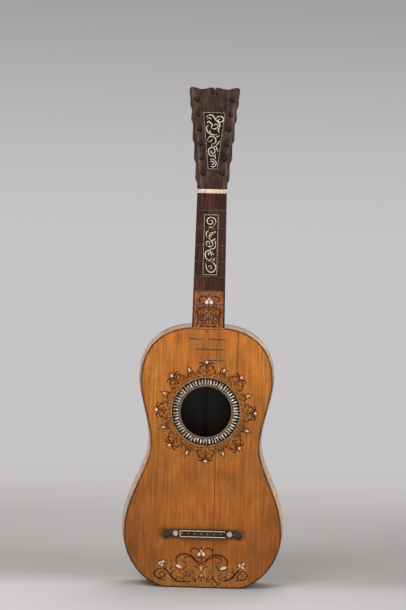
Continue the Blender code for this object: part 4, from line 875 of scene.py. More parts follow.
def smoothThrough(points, steps):
    # a Catmull-Rom line through a few points
    line = [Vector(points[0])]
    for i in range(len(points) - 1):
        here, there = Vector(points[i]), Vector(points[i + 1])
        before = Vector(points[i - 1]) if i else here
        after = Vector(points[i + 2]) if i + 2 < len(points) else there
        curve = interpolate_bezier(here.to_3d(), (here + (there - before) / 6).to_3d(),
                                   (there - (after - here) / 6).to_3d(), there.to_3d(), steps + 1)
        line += [p.to_2d() for p in curve][1:]
    return line


def sewRings(work, rings, capped=True):
    # faces between rings of vertices, each joined to the next, and a cap on both ends
    for a, b in zip(rings, rings[1:]):
        for i in range(len(a)):
            k = (i + 1) % len(a)
            work.faces.new((a[i], a[k], b[k], b[i]))
    if capped:
        work.faces.new(rings[0])
        work.faces.new(rings[-1][::-1])


# Shares of an inlaid line's width at its face and of how quickly it fills, and of a gem's size on its crown
cutShape = {"strokeTop": 0.82, "fill": 0.6, "gemShoulder": 0.55, "gemTop": 0.78, "gemPinch": 0.45}


def stroke(work, points, width, place, low=-0.2, high=0.12, ends=0.35, steps=4, mirror=1):
    # an inlaid line, full in its middle and narrow at its ends, standing a hair above the face
    line = smoothThrough([(mirror * x, y) for x, y in points], steps)
    last = len(line) - 1
    rows = []
    for i, here in enumerate(line):
        along = (line[min(i + 1, last)] - line[max(i - 1, 0)]).normalized()
        half = width / 2 * (ends + (1 - ends) * abs(math.sin(math.pi * i / last)) ** cutShape["fill"])
        side = Vector((-along.y, along.x)) * half
        top = cutShape["strokeTop"]
        rows.append([work.verts.new(place(*(here + side * k), n))
                     for k, n in ((1, low), (top, high), (-top, high), (-1, low))])
    sewRings(work, rows)


def gem(work, u, v, length, width, angle, place, point=0.0, low=-0.2, high=0.25, sides=14):
    # a pearl: an oval, or with point towards 1 a drop whose tip looks along the angle
    turn = math.radians(angle)
    rings = []
    for n, share in ((low, 1.0), (high * cutShape["gemShoulder"], 1.0), (high, cutShape["gemTop"])):
        ring = []
        for i in range(sides):
            a = 2 * math.pi * i / sides
            x = width / 2 * share * math.sin(a) * (1 - point * cutShape["gemPinch"] * (1 + math.cos(a)))
            y = length / 2 * share * math.cos(a)
            ring.append(work.verts.new(place(u + x * math.cos(turn) + y * math.sin(turn),
                                             v - x * math.sin(turn) + y * math.cos(turn), n)))
        rings.append(ring)
    sewRings(work, rings)


def drawnMesh(name, work):
    # the drawing as a mesh, its faces outwards
    bmesh.ops.recalc_face_normals(work, faces=work.faces)
    return fromBmesh(name, work)


def drawAll(work, strokes, gems, place, bold, **more):
    # strokes: width, points, and whether it is mirrored too; gems: across, up, length, width, angle, point
    for width, points, *both in strokes:
        for mirror in ((1, -1) if any(both) else (1,)):
            stroke(work, points, width * bold, place, mirror=mirror, **more)
    for u, v, length, width, angle, point in gems:
        gem(work, u, v, length, width, angle, place, point)


def inlay(name, strokes, look, slot, place=onFace, gems=(), bold=1.0, replaced=(), **more):
    work = bmesh.new()
    drawAll(work, strokes, gems, place, bold, **more)
    ridePiece(name, drawnMesh(name, work), looks[look], replaced=replaced)


def newTree(name, inputs):
    # a Geometry Nodes tree with named inputs: name -> (kind, value)
    tree = bpy.data.node_groups.new(name, "GeometryNodeTree")
    for label, (kind, value) in inputs.items():
        socket = tree.interface.new_socket(label, in_out="INPUT", socket_type="NodeSocket" + kind)
        if value is not None:
            socket.default_value = value
    tree.interface.new_socket("Geometry", in_out="OUTPUT", socket_type="NodeSocketGeometry")
    return tree, addNode(tree, "NodeGroupInput").outputs


def endTree(tree, geometry, look):
    solid = addNode(tree, "GeometryNodeRealizeInstances", {"Geometry": geometry})
    painted = addNode(tree, "GeometryNodeSetMaterial", {"Geometry": solid, "Material": looks[look]})
    addNode(tree, "NodeGroupOutput", {"Geometry": painted})


def growMesh(name, tree, values):
    # runs a tree with these input values and gives back a plain mesh
    holder = placeObject(name, bpy.data.meshes.new(name + "_seed"))
    step = holder.modifiers.new("grow", "NODES")
    step.node_group = tree
    for item in tree.interface.items_tree:
        if item.item_type == "SOCKET" and item.in_out == "INPUT" and item.name in values:
            step[item.identifier] = values[item.name]
    bpy.context.view_layer.update()
    mesh = takeMesh(holder)
    mesh.name = name
    return mesh


print("rosette")

rosette = {
    "tiles": 64,
    "innerRadius": 48.3, "outerRadius": 57.0,     # mm
    "innerShare": 0.66, "outerShare": 0.26,       # share of the pitch that is pearl at each radius
    "thickness": 1.0,                             # mm
    "tileLean": (0, 0.05, 0.008),                 # radians by which a tile may lean or turn
    "masticRing": (47.7, 58.8),                   # mm, inner and outer radius
    "masticDepth": 0.15, "masticFloor": 1.5,      # mm below the board's face
    "ringSides": 128,
    "palmettes": 8, "bold": 1.05,
    "motifJitter": 0.02,                          # radians
    "seed": 7,
}


def standRound(tree, given, piece, tilt, look):
    # copies of a piece, each turned by its own tilt, stood up round the sound hole
    spots = addNode(tree, "GeometryNodeMeshLine", {"Count": given["Count"], "Offset": (0, 0, 0)})
    copies = addNode(tree, "GeometryNodeInstanceOnPoints", {"Points": spots, "Instance": piece,
                                                            "Rotation": tilt})
    centre = addNode(tree, "ShaderNodeCombineXYZ", {1: given["Face"], 2: given["Hole height"]})
    stood = addNode(tree, "GeometryNodeTransform", {"Geometry": copies, "Translation": centre,
                                                    "Rotation": (math.pi / 2, 0, 0)})
    endTree(tree, stood, look)
    return tree


def tileTree():
    # wedges of pearl round the hole, set in black mastic that shows as teeth between them
    tree, given = newTree("rosetteTiles", {
        "Count": ("Int", 64), "Inner radius": ("Float", 0.0483), "Outer radius": ("Float", 0.057),
        "Inner share": ("Float", 0.66), "Outer share": ("Float", 0.26), "Thickness": ("Float", 0.001),
        "Face": ("Float", faceY), "Hole height": ("Float", holeHeight), "Seed": ("Int", 7)})
    cube = addNode(tree, "GeometryNodeMeshCube", {"Size": (1, 1, 1), "Vertices X": 2, "Vertices Y": 2,
                                                  "Vertices Z": 2})
    position = addNode(tree, "GeometryNodeInputPosition")
    place = addNode(tree, "ShaderNodeSeparateXYZ", {0: position}).outputs
    along = addNode(tree, "ShaderNodeMath", {0: place["Y"], 1: 0.5}, operation="ADD")
    radius, share = [addNode(tree, "ShaderNodeMapRange", {
        "Value": along, "To Min": given["Inner " + what], "To Max": given["Outer " + what]})
        for what in ("radius", "share")]
    pitch = addNode(tree, "ShaderNodeMath", {0: 2 * math.pi, 1: given["Count"]}, operation="DIVIDE")
    room = addNode(tree, "ShaderNodeMath", {0: radius, 1: pitch}, operation="MULTIPLY")
    width = addNode(tree, "ShaderNodeMath", {0: room, 1: share}, operation="MULTIPLY")
    x = addNode(tree, "ShaderNodeMath", {0: place["X"], 1: width}, operation="MULTIPLY")
    sunk = addNode(tree, "ShaderNodeMath", {0: place["Z"], 1: 0.5}, operation="SUBTRACT")
    z = addNode(tree, "ShaderNodeMath", {0: sunk, 1: given["Thickness"]}, operation="MULTIPLY")
    corner = addNode(tree, "ShaderNodeCombineXYZ", {0: x, 1: radius, 2: z})
    wedge = addNode(tree, "GeometryNodeSetPosition", {"Geometry": cube, "Position": corner})
    index = addNode(tree, "GeometryNodeInputIndex")
    lean = Vector(rosette["tileLean"])
    jitter = addNode(tree, "FunctionNodeRandomValue", {
        "Min": -lean, "Max": lean, "ID": index, "Seed": given["Seed"]}, data_type="FLOAT_VECTOR")
    middle = addNode(tree, "ShaderNodeMath", {0: index, 1: 0.5}, operation="ADD")
    angle = addNode(tree, "ShaderNodeMath", {0: middle, 1: pitch}, operation="MULTIPLY")
    turn = addNode(tree, "ShaderNodeCombineXYZ", {2: angle})
    tilt = addNode(tree, "ShaderNodeVectorMath", {0: turn, 1: jitter}, operation="ADD")
    return standRound(tree, given, wedge, tilt, "cutPearlTiles")


def motifTree(look):
    # one drawn motif repeated round the hole, each a little off, as cut by hand
    tree, given = newTree("roundMotif", {
        "Motif": ("Object", None), "Count": ("Int", 8), "Start": ("Float", 0.0), "Jitter": ("Float", 0.02),
        "Face": ("Float", faceY), "Hole height": ("Float", holeHeight), "Seed": ("Int", 7)})
    motif = addNode(tree, "GeometryNodeObjectInfo", {"Object": given["Motif"]}).outputs["Geometry"]
    index = addNode(tree, "GeometryNodeInputIndex")
    pitch = addNode(tree, "ShaderNodeMath", {0: 2 * math.pi, 1: given["Count"]}, operation="DIVIDE")
    least = addNode(tree, "ShaderNodeMath", {0: given["Jitter"], 1: -1.0}, operation="MULTIPLY")
    off = addNode(tree, "FunctionNodeRandomValue", {
        2: least, 3: given["Jitter"], "ID": index, "Seed": given["Seed"]}, data_type="FLOAT").outputs[1]
    angle = addNode(tree, "ShaderNodeMath", {0: index, 1: pitch}, operation="MULTIPLY")
    angle = addNode(tree, "ShaderNodeMath", {0: angle, 1: given["Start"]}, operation="ADD")
    angle = addNode(tree, "ShaderNodeMath", {0: angle, 1: off}, operation="ADD")
    tilt = addNode(tree, "ShaderNodeCombineXYZ", {2: angle})
    return standRound(tree, given, motif, tilt, look)


# Motifs in mm: across, and out from the middle of the hole. Strokes marked True are mirrored too.
palmetteStrokes = (
    (1.9, ((0, 65.6), (0, 71), (0, 77), (0, 83.6)), False),
    (2.3, ((0.6, 81.4), (4, 84.6), (8, 86.0), (11.6, 85.4), (13.4, 83.2)), True),
    (2.1, ((0.8, 75.6), (3.4, 79.2), (7.2, 81.0), (10.8, 79.8), (12.2, 76.8), (10.4, 74.6),
           (8.6, 75.8)), True),
    (1.7, ((0.4, 68.6), (3.2, 71.0), (4.4, 73.8), (3.0, 76.0)), True),
    (1.8, ((3.2, 66.0), (7.6, 67.0), (11.6, 69.6), (14.6, 71.0), (16.2, 69.2), (14.8, 67.4),
           (13.2, 68.4)), True),
    (1.5, ((5.6, 70.4), (7.0, 72.2), (6.4, 74.2)), True),
    (1.2, ((0, 90.6), (0, 92.2), (0, 93.6)), False),
    (1.8, ((0.6, 79.4), (2.6, 82.6), (5.6, 83.6), (8.2, 82.8)), True),
    (1.4, ((8.8, 77.4), (10.8, 78.0), (12.6, 80.4)), True),
    (1.3, ((1.4, 88.4), (3.8, 89.8), (6.0, 88.6)), True),
    (1.5, ((9.6, 66.0), (12.6, 66.6), (16.0, 65.6)), True),
    (1.4, ((11.2, 73.2), (14.0, 74.6), (16.2, 73.0), (15.2, 71.4)), True),
)
smallStrokes = (
    (1.0, ((0.4, 75.4), (2.7, 77.4), (2.9, 80.2), (1.2, 84.2), (0, 88.4)), True),
    (1.6, ((0, 75.0), (2.4, 73.0), (4.8, 73.8), (5.2, 76.0), (3.8, 76.8)), True),
    (1.6, ((0, 66.0), (0, 69.4), (0, 73.6)), False),
    (1.7, ((1.0, 66.2), (4.0, 67.4), (5.4, 69.8), (4.2, 71.2), (3.0, 70.2)), True),
    (1.4, ((1.0, 71.6), (3.6, 72.0), (6.4, 70.6)), True),
    (1.5, ((5.6, 65.8), (8.0, 67.2), (8.6, 69.8), (7.0, 71.2)), True),
    (1.2, ((3.4, 78.6), (5.4, 80.2), (5.6, 82.6)), True),
)
palmetteGems = ((0, 86.6, 4.2, 3.8, 0, 0.2),)
smallGems = ((0, 79.4, 6.2, 3.6, 0, 0.8),)


def motifObject(name, strokes, gems=()):
    work = bmesh.new()
    drawAll(work, strokes, gems, flatPlace, rosette["bold"], steps=3)
    return placeObject(name, drawnMesh(name, work))


def flatRing(name, look):
    # the square-edged ring of mastic let into the soundboard
    work = bmesh.new()
    (inner, outer), sides = rosette["masticRing"], rosette["ringSides"]
    face, floor = rosette["masticDepth"], rosette["masticFloor"]
    turns = [2 * math.pi * i / sides for i in range(sides)]
    rings = [[work.verts.new(onFace(radius * math.sin(a), holeHeight / mm + radius * math.cos(a), -level))
              for a in turns]
             for radius, level in ((inner, floor), (inner, face), (outer, face), (outer, floor))]
    sewRings(work, rings + rings[:1], capped=False)
    ridePiece(name, drawnMesh(name, work), looks[look])


def makeRosette():
    tiles = growMesh("rosette_pearl_tiles", tileTree(), {
        "Count": rosette["tiles"], "Inner radius": rosette["innerRadius"] * mm,
        "Outer radius": rosette["outerRadius"] * mm, "Inner share": rosette["innerShare"],
        "Outer share": rosette["outerShare"], "Thickness": rosette["thickness"] * mm,
        "Seed": rosette["seed"]})
    ridePiece("rosette_pearl_tiles", tiles, replaced=["rosette_tiles"])
    flatRing("rosette_mastic_ring", "blackMastic")
    for name, strokes, gems, start in (
            ("palmettes", palmetteStrokes, palmetteGems, 0.0),
            ("small_scrolls", smallStrokes, smallGems, math.pi / rosette["palmettes"])):
        for kind, look, slot, drawn in (
                ("mastic", "scrapedMastic", "inlay_field", motifObject(name + "_lines", strokes)),
                ("pearl", "polishedPearl", "pearl", motifObject(name + "_gems", (), gems))):
            mesh = growMesh("rosette_%s_%s" % (name, kind), motifTree(look), {
                "Motif": drawn, "Count": rosette["palmettes"], "Start": start,
                "Jitter": rosette["motifJitter"], "Seed": rosette["seed"]})
            ridePiece(mesh.name, mesh)
            bpy.data.objects.remove(drawn)


makeRosette()

# Thin line of mastic that ties the scrolls together, worn away at places
ringLine = {
    "radius": 63.5, "width": 1.5, "arcs": 40, "stand": 0.08,
    "start": (0.0, 0.18), "end": (0.72, 0.98),     # shares of the pitch at which an arc starts and ends
    "radiusSwing": 0.5, "widthSwing": (0.7, 1.4), "seed": 11,
}


def makeRingLine():
    dice = random.Random(ringLine["seed"])
    work = bmesh.new()
    pitch = 2 * math.pi / ringLine["arcs"]
    for i in range(ringLine["arcs"]):
        start = pitch * (i + dice.uniform(*ringLine["start"]))
        end = pitch * (i + dice.uniform(*ringLine["end"]))
        radius = ringLine["radius"] + dice.uniform(-ringLine["radiusSwing"], ringLine["radiusSwing"])
        points = [(radius * math.sin(a), holeHeight / mm + radius * math.cos(a))
                  for a in (start + (end - start) * k / 4 for k in range(5))]
        stroke(work, points, ringLine["width"] * dice.uniform(*ringLine["widthSwing"]), onFace,
               high=ringLine["stand"])
    mesh = drawnMesh("rosette_ring_line", work)
    ridePiece("rosette_ring_line", mesh, looks["scrapedMastic"])


makeRingLine()

print("inlays")

# tail ornament
tailStrokes = (
    (2.4, ((-1.3, 73.4), (-1.2, 71.1), (-1.2, 68.6))),
    (2, ((-3.9, 63.4), (-6.3, 67.7), (-12.3, 70.1), (-17.9, 68.2), (-19.6, 64.3), (-17.7, 61.8))),
    (2, ((2, 63.5), (4.7, 68.2), (10.8, 70.4), (16.3, 67.9), (17.9, 64.1), (15.6, 62))),
    (1.8, ((-0.9, 55.5), (-0.5, 49.6), (-0.6, 41.6))),
    (2.3, ((-0.6, 41.1), (-4.5, 45.1), (-9.7, 48.1), (-14.2, 53.1), (-20.7, 57.9), (-30.5, 59.7),
          (-39.7, 57.2), (-44.2, 52.5), (-45.1, 46.8), (-43, 42.8))),
    (1.8, ((-6.3, 44.1), (-11.5, 47.3), (-16, 52.3), (-22.7, 55.3), (-28.9, 53.9), (-30.8, 50.5))),
    (2.3, ((-0.6, 41.1), (3.2, 45.3), (7.2, 48.5), (11.7, 53.7), (19.3, 58.2), (29.6, 58.7), (39.4, 54.5),
          (44.7, 48.5), (45.3, 42.6), (42.8, 40))),
    (1.8, ((5.2, 44.8), (10.8, 49.6), (15.9, 52.2), (23, 55.7), (30.7, 53.1), (35.2, 48.5), (34.2, 44.9))),
    (1.5, ((-34.9, 48.6), (-29.2, 44.6), (-27, 39.5), (-29.5, 34.3), (-35.1, 31.1), (-40.7, 31.5))),
    (1.5, ((31.9, 45.9), (27.9, 42.7), (25.9, 38.6), (28, 34), (33.7, 31.5), (39.9, 32.7))),
    (1.6, ((-10.1, 42.4), (-5.5, 41.3), (-1.8, 38.8))),
    (1.6, ((8.9, 42.8), (4.3, 41.5), (0.7, 38.8))),
    (1.7, ((-14.1, 37.2), (-9.5, 37.3), (-5.4, 35.4), (-3.2, 30.8))),
    (1.7, ((12.6, 37.8), (7.9, 37.7), (3.9, 35.5), (1.9, 30.9))),
    (1.6, ((-0.6, 29.3), (-0.3, 25.2))),
    (1.5, ((-0.2, 19.5), (-0, 14.4), (0.1, 9.3))),
    (1.5, ((-0.9, 17.5), (-4, 20), (-6.3, 17.4), (-5.4, 13.8))),
    (1.5, ((0.7, 17.5), (3.7, 20.1), (6, 17.6), (5.4, 14))),
    (1.5, ((-14.8, 21.8), (-11.7, 17.2), (-9, 13.7), (-10.5, 10.6), (-14.1, 11))),
    (1.5, ((13.9, 21.9), (11.4, 17.7), (8.9, 14.1), (11.1, 10.5), (15.2, 12.2))),
    (1.3, ((-16.8, 16.1), (-13.7, 14.6), (-10.5, 12.6))),
    (1.3, ((17.1, 16.8), (14.1, 14.7), (11, 13.1))),
    (2.6, ((-68.5, 36.1), (-64.4, 33.6), (-59.1, 28.1), (-54.9, 22.5), (-50.7, 17.5), (-46.5, 13.4),
          (-39.8, 10.5), (-30, 11), (-23.8, 10.1), (-17.7, 11))),
    (1.8, ((-47.4, 30.4), (-51.9, 26.2), (-53.1, 21), (-50.2, 16.4))),
    (1.5, ((-39.4, 19.2), (-43.5, 17.1), (-44.4, 13.5), (-41.3, 11.5))),
    (2, ((-58.6, 26.5), (-64.3, 31), (-72.1, 32.4), (-79.2, 30), (-82.2, 24), (-79.5, 18.4), (-72.7, 16),
          (-66.1, 18.2), (-64.2, 23.3), (-67.8, 26.9), (-72.9, 25.7), (-73.9, 22.1), (-70.8, 20.9))),
    (1.6, ((-79.5, 17.9), (-73.7, 14.1), (-67, 12.5), (-61.9, 14.7))),
    (1.4, ((-76.5, 47.7), (-73.4, 45.2), (-70.2, 43.2))),
    (1.4, ((-62.6, 48), (-65.7, 45.9), (-68.2, 43.3))),
    (1.4, ((-76.9, 40.5), (-73.3, 41.1), (-70.2, 42.2))),
    (1.4, ((-62, 40.3), (-65, 40.8), (-68.7, 41.7))),
    (1.4, ((-69.8, 48.9), (-69.5, 46.3))),
    (2.6, ((68.6, 35.9), (64.5, 32.7), (61, 28.5), (57.5, 23.8), (53.5, 19.6), (49, 15.9), (43.4, 13.8),
          (36.7, 12.6))),
    (1.8, ((52.2, 31.4), (55.9, 26.9), (57.1, 21.8), (55.6, 17.1))),
    (1.5, ((36.6, 19.3), (41.2, 20.4), (43.8, 17.9), (41.8, 14.8), (38.2, 15.2))),
    (2, ((58, 25.4), (63.1, 29.1), (70.7, 30.8), (77.5, 28.9), (80.1, 23.3), (77.2, 18.1), (71.1, 15.6),
          (64.9, 17.3), (62.7, 21.9), (65.7, 25.8), (70.8, 25.6), (73, 22.1), (69.9, 20.5))),
    (1.6, ((65.9, 16.3), (61.3, 14.7), (58.8, 12))),
    (1.4, ((60.7, 46), (63.8, 44), (66.9, 42.5))),
    (1.4, ((77.6, 45.8), (74.6, 44.2), (71, 42.6))),
    (1.4, ((61.3, 37.8), (64.9, 38.9), (67.5, 40))),
    (1.4, ((78.3, 39.2), (75.2, 40.1), (71.5, 41.1))),
    (1.4, ((69.6, 48.7), (69.7, 45.7))),
    (1.4, ((-38.6, 27.4), (-33.4, 25.0), (-29.8, 20.4), (-32.0, 15.8), (-36.4, 16.6), (-36.0, 20.0))),
    (1.3, ((-22.4, 31.0), (-27.0, 27.4), (-26.0, 21.8), (-21.0, 20.2), (-18.6, 23.8), (-21.6, 25.4))),
    (1.3, ((-48.6, 37.4), (-43.0, 34.4), (-38.2, 30.0))),
    (1.2, ((-17.6, 31.0), (-14.4, 27.6), (-12.6, 23.4))),
    (1.4, ((37.4, 26.6), (32.6, 24.8), (29.0, 20.0), (31.4, 15.2), (35.4, 16.4), (34.8, 19.6))),
    (1.3, ((46.8, 36.2), (42.0, 33.2), (37.2, 29.4))), (1.2, ((17.0, 31.4), (14.2, 27.8), (12.4, 23.8))),
    (1.5, ((-1.2, 57.0), (-4.4, 53.6), (-8.8, 52.8))), (1.5, ((-0.2, 57.0), (2.8, 53.8), (7.2, 53.0))),
    (1.3, ((-56.2, 31.2), (-52.8, 34.6), (-52.2, 38.4))), (1.3, ((57.6, 30.6), (54.0, 33.8), (53.0, 37.6))),
)

# split and filled hole by the tail
tailScar = (
    (2.6, ((18, 23.5), (19.1, 19.4), (21.8, 14.9), (25.4, 11.3), (28.6, 8.3), (27.6, 4.7), (23.5, 3.6))),
    (2, ((30.6, 11.5), (31.7, 8.4), (30.2, 5.3))),
)

# fingerboard panel, in mm from its centre line and its foot
boardScrolls = (
    (2, ((3.7, 85.1), (6.4, 88.6), (8.2, 93), (6.8, 97.4), (2.6, 100.2), (-2.3, 100.4), (-5.9, 97.7),
          (-6.9, 93.9), (-5.2, 90), (-1.7, 88.4), (1.8, 90), (2.6, 93.2), (0.6, 95.5), (-1.3, 94.4))),
    (2, ((-5.7, 80.7), (-2.7, 81.7), (0.8, 80.7), (7.8, 81.4))),
    (1.5, ((-3.7, 83.7), (-0.2, 84), (3.4, 83))),
    (1.9, ((-3.7, 77), (-6.6, 75.6), (-7.8, 72.4), (-7.8, 68.9), (-6.3, 65.4))),
    (2, ((5.7, 73.1), (3.2, 74.2), (0.1, 73.5), (-2.1, 70.7), (-2.7, 67.2), (-2.3, 63.6), (-0.8, 60.8))),
    (1.5, ((0.7, 65.4), (0, 68.6), (1.6, 70.8), (4, 70.5))),
    (1.5, ((5.6, 77), (7.7, 75.6), (6.4, 73.7))),
    (1.9, ((-0.4, 59.8), (3.1, 60.5), (5.6, 62.1), (8.2, 64))),
    (1.9, ((-0.8, 59.6), (1.9, 58.4), (3.5, 55.6), (3.3, 52), (1, 49.7), (-2.4, 49.6), (-6, 51.3),
          (-7.5, 54.8), (-6.5, 58), (-3.5, 58.4), (-1.6, 56.3), (-2.6, 53.8))),
    (1.9, ((6.4, 60.1), (8.2, 57.7), (8.5, 54.1), (8.7, 51), (7.4, 47.8), (5, 45.9), (1.5, 45.5),
          (-1.3, 43.9))),
    (2.1, ((6.3, 35.5), (3.3, 38.7), (0.2, 41.5), (-3, 42.5), (-6.4, 41.5), (-8.6, 38.3), (-8.7, 34.1),
          (-7.6, 30.2), (-5, 27.1), (-1.5, 25.7), (1.3, 27.4), (3.6, 30.4))),
    (1.7, ((1.5, 32.7), (2.1, 35.9), (0.3, 38.1), (-2.5, 38.3), (-3.9, 36.2), (-1.9, 35))),
    (2.1, ((8.7, 29.7), (6.5, 27.6), (4.8, 24.6))),
    (2.1, ((-8, 20), (-6.9, 16.2), (-6, 12), (-3.8, 7.7), (-0.3, 5.3), (3.6, 5.1), (7.4, 7.4), (9.5, 11.6),
          (9.6, 16.2), (7.8, 19.3), (4.9, 21.4), (2.1, 23.4), (-0.8, 24.6))),
    (1.6, ((-3.3, 13.7), (-1.2, 15.8), (1.4, 15.6), (3, 13.4), (2, 10.9), (-0.1, 10.9))),
)

# head panel, in mm from its centre line and from the head's foot
headScrolls = (
    (2.1, ((2.1, 122.1), (5.2, 125.8), (9.3, 127.6), (13.5, 126.5), (16.4, 123.4), (15.8, 119.8),
          (12.7, 117.7), (9.2, 117.9), (7.4, 120.2), (8.2, 122.3), (10.3, 122.3))),
    (2.2, ((-12.8, 124.8), (-11.3, 127.9), (-7.9, 129.5), (-3.7, 129.2), (-0.8, 126.5), (1.7, 123),
          (4.6, 119.8), (8.5, 116.7), (10.4, 112.8), (9.8, 108.5), (8.1, 104.7), (8.3, 101.1), (10, 98.3))),
    (1.8, ((-11.5, 121.2), (-9.8, 124.1), (-7.4, 124.4), (-5.1, 122))),
    (2.2, ((-12.4, 114.9), (-9.4, 118.1), (-6.2, 115.6), (-2.9, 112.4), (-4.3, 108.9))),
    (1.9, ((0.2, 111), (2.3, 113.5), (4.7, 113.8), (6.7, 111.7), (6.3, 108.5), (4.2, 106.1), (0.7, 105),
          (-2.8, 106.1), (-4.9, 108.5))),
    (2.2, ((-8.8, 110.7), (-12, 109.6), (-12.8, 106.1), (-11.8, 102.2), (-8.9, 98.3), (-4.7, 95.8),
          (0.3, 95), (5.8, 95.5))),
    (1.6, ((-6.6, 102.9), (-6.3, 99.7), (-4, 97.6))),
    (1.8, ((4.5, 91.8), (7.7, 92.3), (10.4, 94.1))),
    (2.1, ((-10.4, 84.5), (-9.4, 88.4), (-6.7, 91.3), (-3.2, 92.3), (0.7, 91.3), (3.6, 88.1), (4.2, 83.8),
          (2.3, 80.1), (-0.8, 78.9))),
    (1.8, ((-8.2, 83.5), (-5.1, 82.8), (-3.2, 85.3), (-1.7, 87.9))),
    (2.2, ((10.6, 84.5), (8.6, 80.7), (5.9, 77.8), (3.9, 74.7), (0.4, 74))),
    (2.2, ((4.2, 74.7), (6.4, 70.1), (8.1, 65.5))),
    (2, ((-2.5, 79.6), (-2.8, 76.1), (-3.4, 72.9), (-6.2, 71.1), (-8.2, 67.6), (-7.8, 63), (-5.6, 59.1),
          (-1.7, 57.7), (2.5, 58.8), (4.9, 61.3))),
    (1.8, ((-3.4, 72.6), (0.8, 71.5), (3.1, 68.3), (2.7, 64.8), (0.3, 62.3), (-2.9, 63), (-3.8, 65.8),
          (-1.6, 67.3))),
    (1.7, ((3.7, 57.7), (3.8, 55.6), (4.9, 53.5))),
    (2, ((-4.7, 51.4), (-1.2, 52.6), (2.3, 51.2), (5.2, 47.9), (5.6, 43.6), (3.6, 40.1), (-0.2, 38.7),
          (-4.1, 40.4))),
    (1.8, ((-5.1, 46.8), (-2.5, 48.6), (0.6, 48), (1.9, 45.4), (0.2, 42.9), (-2.4, 43.3))),
)

# gems: across, up, length, width, angle, point
tailGems = (
    (-1.1, 64.9, 4.2, 2.8, 0, 0.2), (-4.7, 59.8, 7.0, 5.6, 20, 0.5), (2.4, 59.9, 7.0, 5.6, -20, 0.5),
    (-40.1, 37.2, 10.6, 4.2, 112, 0.1), (38.3, 35.8, 11.6, 4.4, 72, 0.1), (-0.3, 22.1, 2.2, 2.2, 0, 0),
    (-73.1, 42.6, 6.0, 3.2, 35, 0.3), (-67.4, 45.0, 5.8, 3.2, 60, 0.3), (-69.6, 39.3, 5.4, 3.2, 15, 0.3),
    (66.3, 41.2, 6.2, 3.6, -20, 0.3), (72.7, 43.6, 6.0, 3.2, 50, 0.3), (71.8, 37.9, 5.6, 3.0, -35, 0.3),
)
tailPinkGem = ((-1.0, 34.9, 8.2, 4.8, 0, 0.0),)
neckStrokes = (
    (1.8, ((0, 518), (0, 515), (0, 512.4)), False),
    (2.0, ((2.6, 507.4), (6.2, 511.4), (12.4, 511.8), (16.6, 508.6), (17.6, 504.4), (14.8, 502.2),
           (13.0, 504.4)), True),
    (1.8, ((0, 498.5), (0, 492), (0, 485)), False),
    (2.2, ((0.6, 486.5), (4.8, 491.0), (10.4, 492.6), (16.0, 489.8), (19.6, 484.6), (18.4, 479.4),
           (14.4, 478.2), (12.2, 481.4), (14.6, 483.8)), True),
    (1.8, ((0.6, 484.6), (5.6, 482.4), (9.0, 477.2), (8.6, 471.4), (4.8, 468.8), (2.6, 472.2),
           (5.0, 474.6)), True),
    (1.6, ((12.4, 474.6), (16.2, 472.6), (18.6, 468.6), (16.6, 465.4)), True),
    (1.6, ((0, 479), (0, 472), (0, 464)), False),
    (1.7, ((1.4, 463.4), (6.6, 465.2), (11.2, 462.8), (12.6, 459.6)), True),
    (1.6, ((9.4, 487.6), (12.2, 489.0), (15.0, 486.6)), True),
    (2.2, ((8.0, 480.6), (11.4, 476.4), (15.6, 475.4), (19.8, 477.6)), True),
    (1.8, ((16.6, 492.4), (19.4, 491.2), (21.2, 488.4)), True),
    (1.6, ((1.8, 492.4), (5.2, 494.2), (9.0, 495.0)), True),
    (1.6, ((14.0, 470.4), (11.2, 468.8), (10.6, 465.8)), True),
    (1.8, ((16.4, 462.8), (19.4, 464.4), (21.4, 461.8)), True),
    (2.0, ((-4.4, 460.0), (0.0, 459.2), (4.4, 460.0)), False),
    (1.7, ((20.6, 474.6), (17.8, 471.4), (20.2, 467.0)), True),
    (1.5, ((6.4, 478.6), (3.4, 480.6), (1.6, 478.0)), True),
    (1.5, ((10.8, 484.6), (8.2, 486.4), (6.6, 489.6)), True),
    (1.6, ((11.4, 471.2), (14.8, 468.6), (14.4, 465.0)), True),
    (1.4, ((20.8, 481.6), (22.6, 484.6), (21.8, 488.0)), True),
    (1.6, ((6.2, 461.0), (8.6, 459.0), (12.0, 459.6), (16.0, 458.6)), True),
    (1.4, ((5.2, 498.0), (9.4, 499.4), (13.4, 498.2)), True),
)
neckGems = ((0, 507.6, 4.2, 3.2, 0, 0.2), (-3.6, 502.0, 8.2, 6.4, 22, 0.45),
            (3.8, 502.0, 8.2, 6.4, -22, 0.45))
stubStrokes = ((1.6, ((-1.5, 452.6), (-1.4, 450), (-1.4, 447.6))),)

# Frets 9 to 12 are strips of dark wood let into the soundboard, worn away in part
bodyFretStrips = (
    (2.0, ((-27, 454.4), (0, 454.2), (27, 454.3))),
    (3.0, ((-33.5, 437.4), (-28, 437.2), (-20, 437.0))), (1.8, ((-20.5, 437.0), (-14, 436.8), (-6, 436.7))),
    (2.7, ((0, 436.6), (15, 436.8), (30.6, 436.4))),
    (3.0, ((-22, 419.2), (3, 418.8), (28.8, 419.2))), (2.6, ((1.5, 400.2), (15, 400.0), (28.6, 400.3))),
)

inlay("tail_scrolls", tailStrokes, "rubbedMastic", "inlay_field", bold=1.35)
inlay("tail_pearls", (), "polishedPearl", "pearl", gems=tailGems)
inlay("tail_pink_pearl", (), "pinkShell", "pearl", gems=tailPinkGem)
inlay("tail_filled_split", tailScar, "scrapedMastic", "inlay_field")
inlay("neck_scrolls", neckStrokes, "rubbedMastic", "inlay_field", bold=1.25)
inlay("neck_pearls", (), "polishedPearl", "pearl", gems=neckGems)
inlay("joint_stub", stubStrokes, "scrapedMastic", "inlay_field")
inlay("body_frets", bodyFretStrips, "rubbedStrip", "rosewood", ends=0.6)

